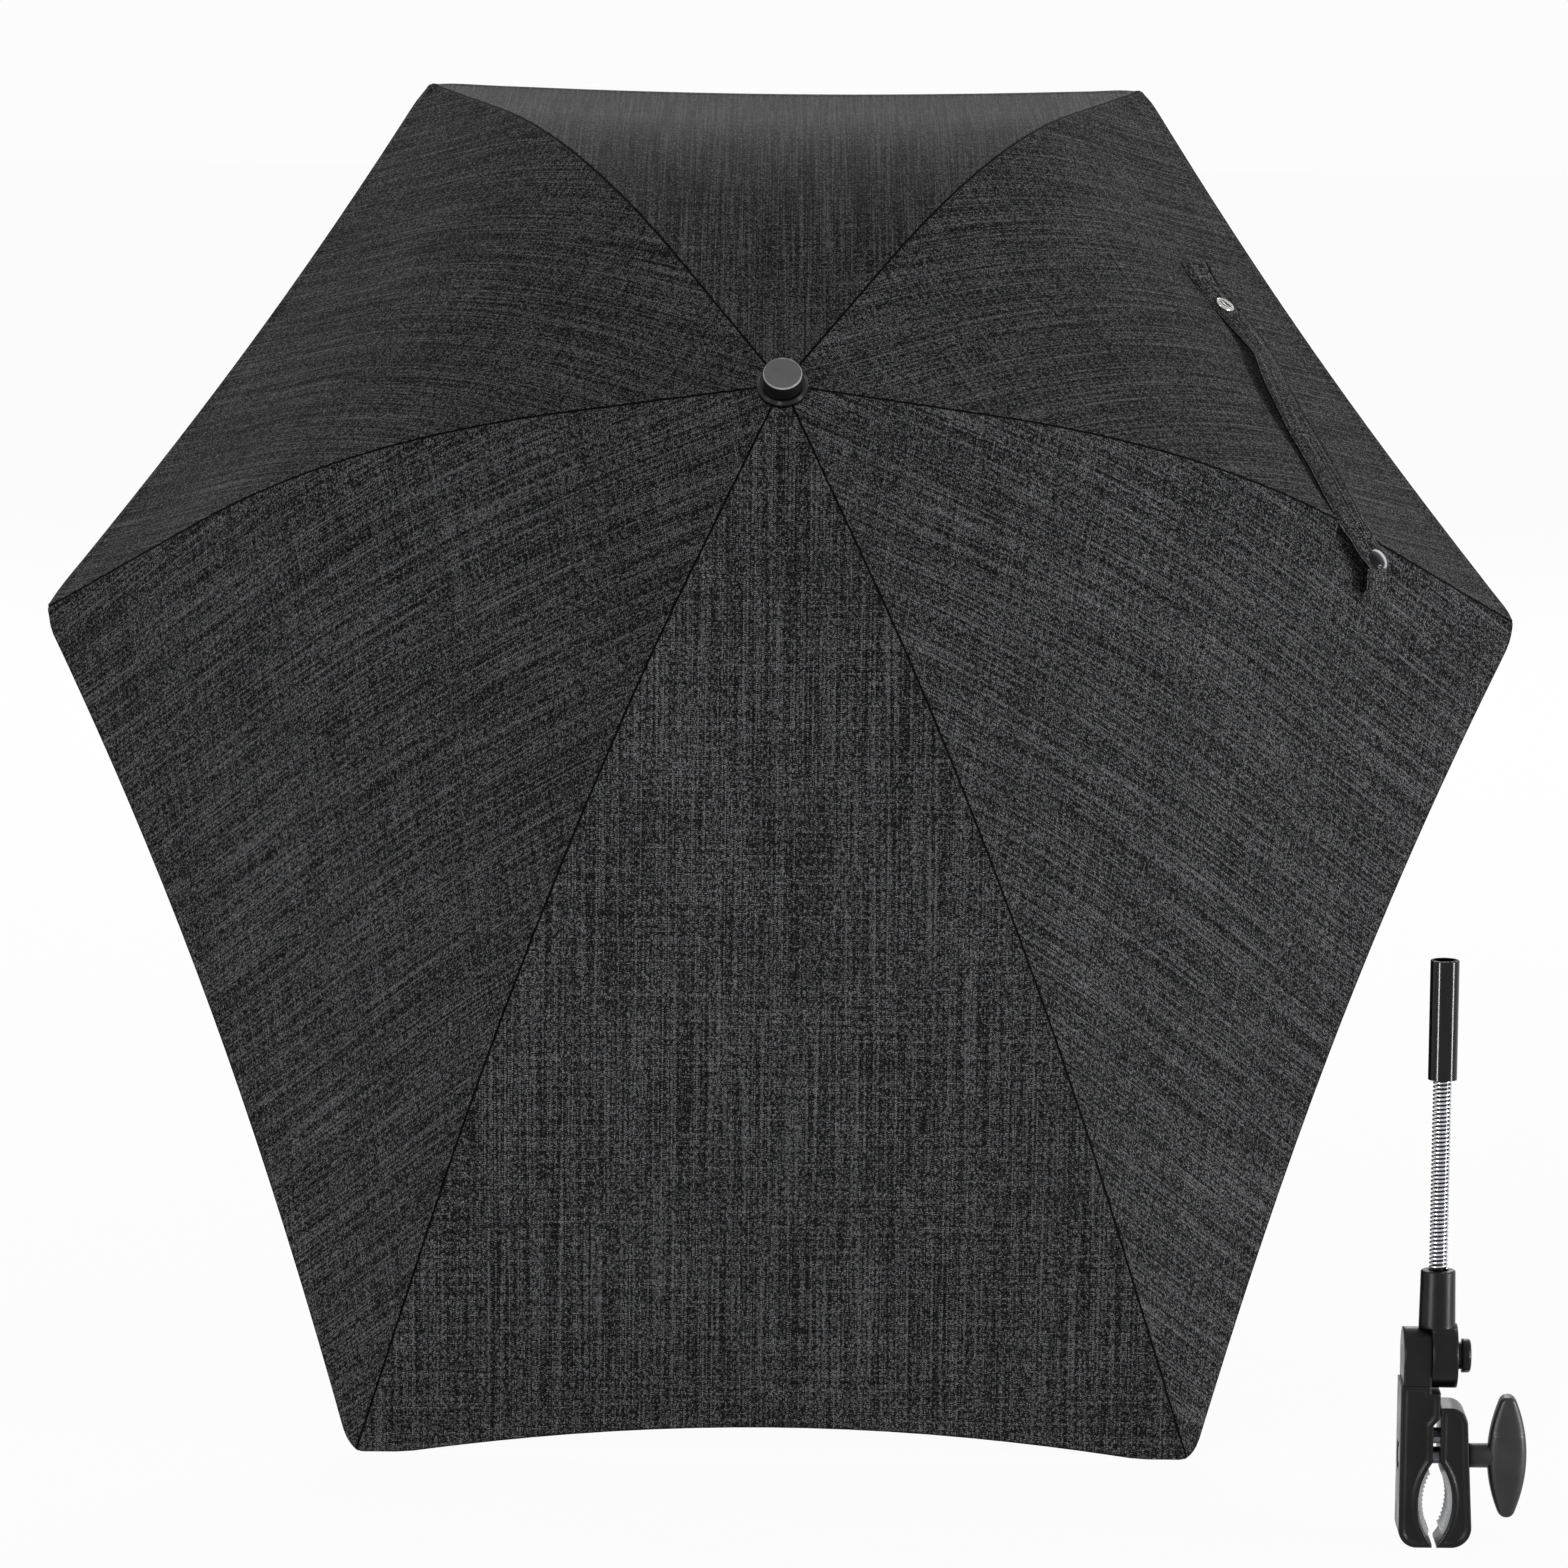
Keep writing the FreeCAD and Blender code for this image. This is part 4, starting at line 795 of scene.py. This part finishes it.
def snapRing():
    middle = (snap["socketRadius"] + snap["socketHole"]) / 2
    ringHalf = (snap["socketRadius"] - snap["socketHole"]) / 2
    outline = []
    for i in range(snap["socketSteps"] + 1):
        turn = math.pi * i / snap["socketSteps"]
        outline.append((middle + ringHalf * math.cos(turn),
                        snap["socketHeight"] * math.sin(turn) ** snap["socketFullness"]))
    parts = [lathe(outline, snap["sides"])]
    for side in (-1, 1):  # the S spring that grips the stud
        bar = []
        for i in range(snap["wireSteps"] + 1):
            t = i / snap["wireSteps"]
            bar.append(Vector((side * (snap["wireApart"] + snap["wireBow"] * math.sin(t * math.pi)),
                               (t - 0.5) * snap["wireLength"], snap["wireHeight"])))
        parts.append(sweptTube(bar, snap["wire"], snap["wireSides"], Vector((0, 0, 1))))
    return parts


onStrap(snapDome(), strap["capAt"], "snapCap", "snap_cap", capMetal, True)
onStrap(snapRing(), strapLength - strap["socketFromEnd"], "snapSocket", "snap_socket", snapMetal)
print("snaps made")


gooseneck = {"low": 129.5, "high": 219.5, "radius": 3.8, "wire": 1.25, "turns": 46, "steps": 22, "sides": 8,
             "core": 4.6, "coreRings": 60, "coreSides": 20,
             "insideShadeSpan": (0.45, 0.75), "insideShadeLevel": 0.01}  # shares of the wire, from its inner side, over which the painted shade fades


def wireSides(verts, sides):  # 1 on the outer side of a coil's wire, 0 on the inner one
    return "wireSide", [((1 + math.cos(i % sides * math.tau / sides)) / 2, 0) for i in range(len(verts))]


def paintCoils():  # painted shade: the inner side of each coil's wire is darkened, where the turns shade it
    tree, target, unshaded = baseColour(springWire)
    sides = addNode(tree, "ShaderNodeUVMap", uv_map="wireSide").outputs["UV"]
    outer = addNode(tree, "ShaderNodeSeparateXYZ", {0: sides}).outputs["X"]
    shade = mapRange(tree, outer, *gooseneck["insideShadeSpan"], gooseneck["insideShadeLevel"])
    colour = addNode(tree, "ShaderNodeVectorMath", {0: unshaded, "Scale": shade}, operation="SCALE").outputs[0]
    tree.links.new(colour, target)


def gooseneckPieces():
    count = gooseneck["turns"] * gooseneck["steps"]
    wireHalf = gooseneck["wire"] / 2
    tall = gooseneck["high"] - gooseneck["low"]
    helix = []
    for i in range(count + 1):
        turn = i * math.tau / gooseneck["steps"]
        helix.append(Vector((gooseneck["radius"] * math.cos(turn), gooseneck["radius"] * math.sin(turn),
                             gooseneck["low"] + wireHalf + (tall - 2 * wireHalf) * i / count)))
    verts, faces = sweptTube(helix, wireHalf, gooseneck["sides"], Vector((0, 0, 1)))
    spring = finishMesh("gooseneckCoil", onHolder(verts), faces, springWire,
                        (wireSides(verts, gooseneck["sides"]),))
    path = [Vector((0, 0, gooseneck["low"] + tall * i / gooseneck["coreRings"]))
            for i in range(gooseneck["coreRings"] + 1)]
    verts, faces = sweptTube(path, gooseneck["core"] / 2, gooseneck["coreSides"], Vector((1, 0, 0)))
    core = finishMesh("gooseneckHose", onHolder(verts), faces, fittingsPlastic)
    for piece, node, slot in ((spring, "gooseneck_spring", "spring_steel"),
                              (core, "gooseneck_core", "holder_steel")):
        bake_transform(piece)
        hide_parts(node)
    print("gooseneck", len(spring.data.vertices))


gooseneckPieces()
paintCoils()


buttonSpring = {"left": 0.4, "right": 5.2, "height": 89.0, "radius": 4.9, "wire": 0.5, "turns": 2,
                "steps": 28, "sides": 8, "pressed": 2.0}


def buttonCoil():
    count = buttonSpring["turns"] * buttonSpring["steps"]
    wide = buttonSpring["right"] - buttonSpring["left"]
    helix = []
    for i in range(count + 1):
        turn = i * math.tau / buttonSpring["steps"]
        helix.append(Vector((
            buttonSpring["left"] + buttonSpring["wire"] / 2 + (wide - buttonSpring["wire"]) * i / count,
            buttonSpring["radius"] * math.cos(turn),
            buttonSpring["height"] + buttonSpring["radius"] * math.sin(turn))))
    verts, faces = sweptTube(helix, buttonSpring["wire"] / 2, buttonSpring["sides"], Vector((1, 0, 0)))
    coil = finishMesh("buttonCoil", onHolder(verts), faces, springWire,
                      (wireSides(verts, buttonSpring["sides"]),))
    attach(coil, "arm")
    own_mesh(coil)
    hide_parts("button_spring")


buttonCoil()


# Wing knob: a lens with cut ends, each end stepped back on the face that the finger pushes
knob = {"middle": 33.85, "height": 41.6, "halfSpan": 28.5, "halfWidth": 9.15, "endHalf": 3.0,
        "halfThick": 6.5, "step": 0.8, "stepAt": 10.4, "stepRun": 1.3, "endRound": 2.2,
        "squareness": 3.4, "sides": 56,
        "endLevels": (0, 0.15, 0.4, 0.8, 1.3, 2.2), "levelStep": 0.65, "levels": 80,
        "stemLeft": 16.1, "stemRadius": 5.75, "stemHole": 4.2, "stemSides": 48,
        "stemOutline": ((0.6, 0), (0.18, 0.18), (0, 0.6), (0, 4), (0, 8), (0, 11))}  # inset, run


def squared(value):  # a circle's coordinate pulled out towards a square's
    return math.copysign(abs(value) ** (2 / knob["squareness"]), value)


def knobLevels():
    ends = knob["endLevels"]
    rising = list(ends) + [ends[-1] + i * knob["levelStep"] for i in range(1, knob["levels"] + 1)]
    span = knob["halfSpan"]
    return [-span + level for level in rising] + [span - level for level in reversed(ends)]


def knobWing():
    bow = knob["halfWidth"] - knob["endHalf"]
    sideRadius = (knob["halfSpan"] ** 2 + bow ** 2) / (2 * bow)
    levels = knobLevels()
    verts = []
    for level in levels:
        cut = max(0, knob["endRound"] - (knob["halfSpan"] - abs(level)))
        inset = knob["endRound"] - math.sqrt(knob["endRound"] ** 2 - cut ** 2)
        wide = knob["halfWidth"] - sideRadius + math.sqrt(sideRadius ** 2 - level ** 2) - inset
        for k in range(knob["sides"]):
            turn = k * math.tau / knob["sides"]
            x, y = math.cos(turn), math.sin(turn)
            pushed = smooth(((level if y < 0 else -level) - knob["stepAt"]) / knob["stepRun"])
            thick = knob["halfThick"] - inset - knob["step"] * pushed
            verts.append(Vector((knob["middle"] + wide * squared(x), thick * squared(y),
                                 knob["height"] + level)))
    return verts, ringFaces(len(levels), knob["sides"]) + endFaces(len(verts), knob["sides"])


def knobStem():
    outline = [(knob["stemHole"], 0)]
    outline += [(knob["stemRadius"] - inset, run) for inset, run in knob["stemOutline"]]
    verts, faces = lathe(outline, knob["stemSides"])
    return [Vector((knob["stemLeft"] + vert.z, vert.x, knob["height"] + vert.y)) for vert in verts], faces


knobVerts, knobFaces = joinMeshes([knobWing(), knobStem()])
wingKnob = finishMesh("wingKnob", onHolder(knobVerts), knobFaces, knobPlastic)
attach(wingKnob, "knob")
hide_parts("wing_knob")
print("knob and button spring made")


studio = {
    "depth": 3.92, "lookDown": 8.281, "focal": 8000, "frame": 1568, "apexPixel": (782.5, 391), "roll": 0.6,
    "sensor": 36, "farthest": 50,
    "lamps": {"keyLamp": ((2.8, -1.2, 0.2), 0.9, 75), "fillLamp": ((-2.2, -2.4, 1.2), 0.9, 36),
              "rimLamp": ((0.1, 3.0, 2.0), 1.4, 46)},  # place, size, power
    "aim": (0, -0.1, 0.3),
    "strips": {"leftStrip": -47, "rightStrip": 71},    # turn round the holder in degrees
    "stripSize": (0.05, 0.34), "stripPower": 3.2, "stripAway": 0.6, "stripHeight": 0.175,
    "world": 0.33, "background": 0.975, "paper": "#f4f4f4", "paperWhite": 0.95, "floorHalf": 9,
}


def photoCamera():
    down = math.radians(studio["lookDown"])
    roll = math.radians(studio["roll"])
    look = Vector((0, math.cos(down), -math.sin(down)))
    level = Vector((0, math.sin(down), math.cos(down)))
    rightView = rightWay * math.cos(roll) + level * math.sin(roll)
    upView = level * math.cos(roll) - rightWay * math.sin(roll)
    camera = bpy.data.objects.new("photoCamera", bpy.data.cameras.new("photoCamera"))
    scene.collection.objects.link(camera)
    perPixel = studio["depth"] / studio["focal"]
    middle = studio["frame"] / 2
    pixelX, pixelY = studio["apexPixel"]
    camera.location = (apex - look * studio["depth"] - rightView * (pixelX - middle) * perPixel
                       - upView * (middle - pixelY) * perPixel)
    camera.rotation_mode = "QUATERNION"
    camera.rotation_quaternion = Matrix((rightView, upView, -look)).transposed().to_quaternion()
    camera.data.sensor_width = studio["sensor"]
    camera.data.lens = studio["focal"] * studio["sensor"] / studio["frame"]
    camera.data.clip_end = studio["farthest"]
    scene.camera = camera


def addLamp(name, place, way, power):
    lamp = bpy.data.objects.new(name, bpy.data.lights.new(name, "AREA"))
    lamp.data.energy = power
    lamp.location = place
    lamp.rotation_mode = "QUATERNION"
    lamp.rotation_quaternion = way.to_track_quat("-Z", "Y")
    scene.collection.objects.link(lamp)
    return lamp


photoCamera()
for name, (place, size, power) in studio["lamps"].items():
    addLamp(name, place, Vector(studio["aim"]) - Vector(place), power).data.size = size

# Two low strips beside the holder, seen only in its gloss, give the lacquered tube its two bright lines
for name, turn in studio["strips"].items():
    away = Vector((math.sin(math.radians(turn)), -math.cos(math.radians(turn)), 0))
    stripPlace = holderFoot + away * studio["stripAway"] + Vector((0, 0, studio["stripHeight"]))
    strip = addLamp(name, stripPlace, -away, studio["stripPower"])
    strip.data.shape = "RECTANGLE"
    strip.data.size, strip.data.size_y = studio["stripSize"]
    strip.visible_camera = False
    strip.visible_diffuse = False


def seenDirectly(tree):  # 1 to the eye, in reflections and through clear pieces
    path = addNode(tree, "ShaderNodeLightPath").outputs
    seen = path["Is Camera Ray"]
    for ray in ("Is Transmission Ray", "Is Glossy Ray"):
        seen = addNode(tree, "ShaderNodeMath", {0: seen, 1: path[ray]}, operation="MAXIMUM").outputs[0]
    return seen


# White to the eye and in reflections, a soft grey sky to the rest
def whiteStudio():
    world = bpy.data.worlds.new("whiteStudio")
    scene.world = world
    world.use_nodes = True
    tree = world.node_tree
    tree.nodes.clear()
    strength = mapRange(tree, seenDirectly(tree), 0, 1, studio["world"], studio["background"])
    sky = addNode(tree, "ShaderNodeBackground", {"Color": (1, 1, 1, 1), "Strength": strength})
    addNode(tree, "ShaderNodeOutputWorld", {"Surface": sky.outputs[0]})


# Paper floor: its own white to the eye, with part of it lit so that the shadow shows
def paperFloor():
    paper = bpy.data.materials.new("whitePaper")
    paper.use_nodes = True
    tree = paper.node_tree
    tree.nodes.clear()
    lit = addNode(tree, "ShaderNodeBsdfDiffuse", {"Color": hexColour(studio["paper"])})
    plain = addNode(tree, "ShaderNodeEmission", {"Color": (1, 1, 1, 1), "Strength": 1})
    share = addNode(tree, "ShaderNodeMath", {
        0: seenDirectly(tree), 1: studio["paperWhite"]}, operation="MULTIPLY")
    both = addNode(tree, "ShaderNodeMixShader", {
        0: share.outputs[0], 1: lit.outputs[0], 2: plain.outputs[0]})
    addNode(tree, "ShaderNodeOutputMaterial", {"Surface": both.outputs[0]})
    far = studio["floorHalf"]
    mesh = bpy.data.meshes.new("paperFloor")
    mesh.from_pydata([(-far, -far, 0), (far, -far, 0), (far, far, 0), (-far, far, 0)], [], [(0, 1, 2, 3)])
    mesh.materials.append(paper)
    floor = bpy.data.objects.new("paperFloor", mesh)
    scene.collection.objects.link(floor)


whiteStudio()
paperFloor()
scene.view_settings.view_transform = "Standard"
print("studio set")
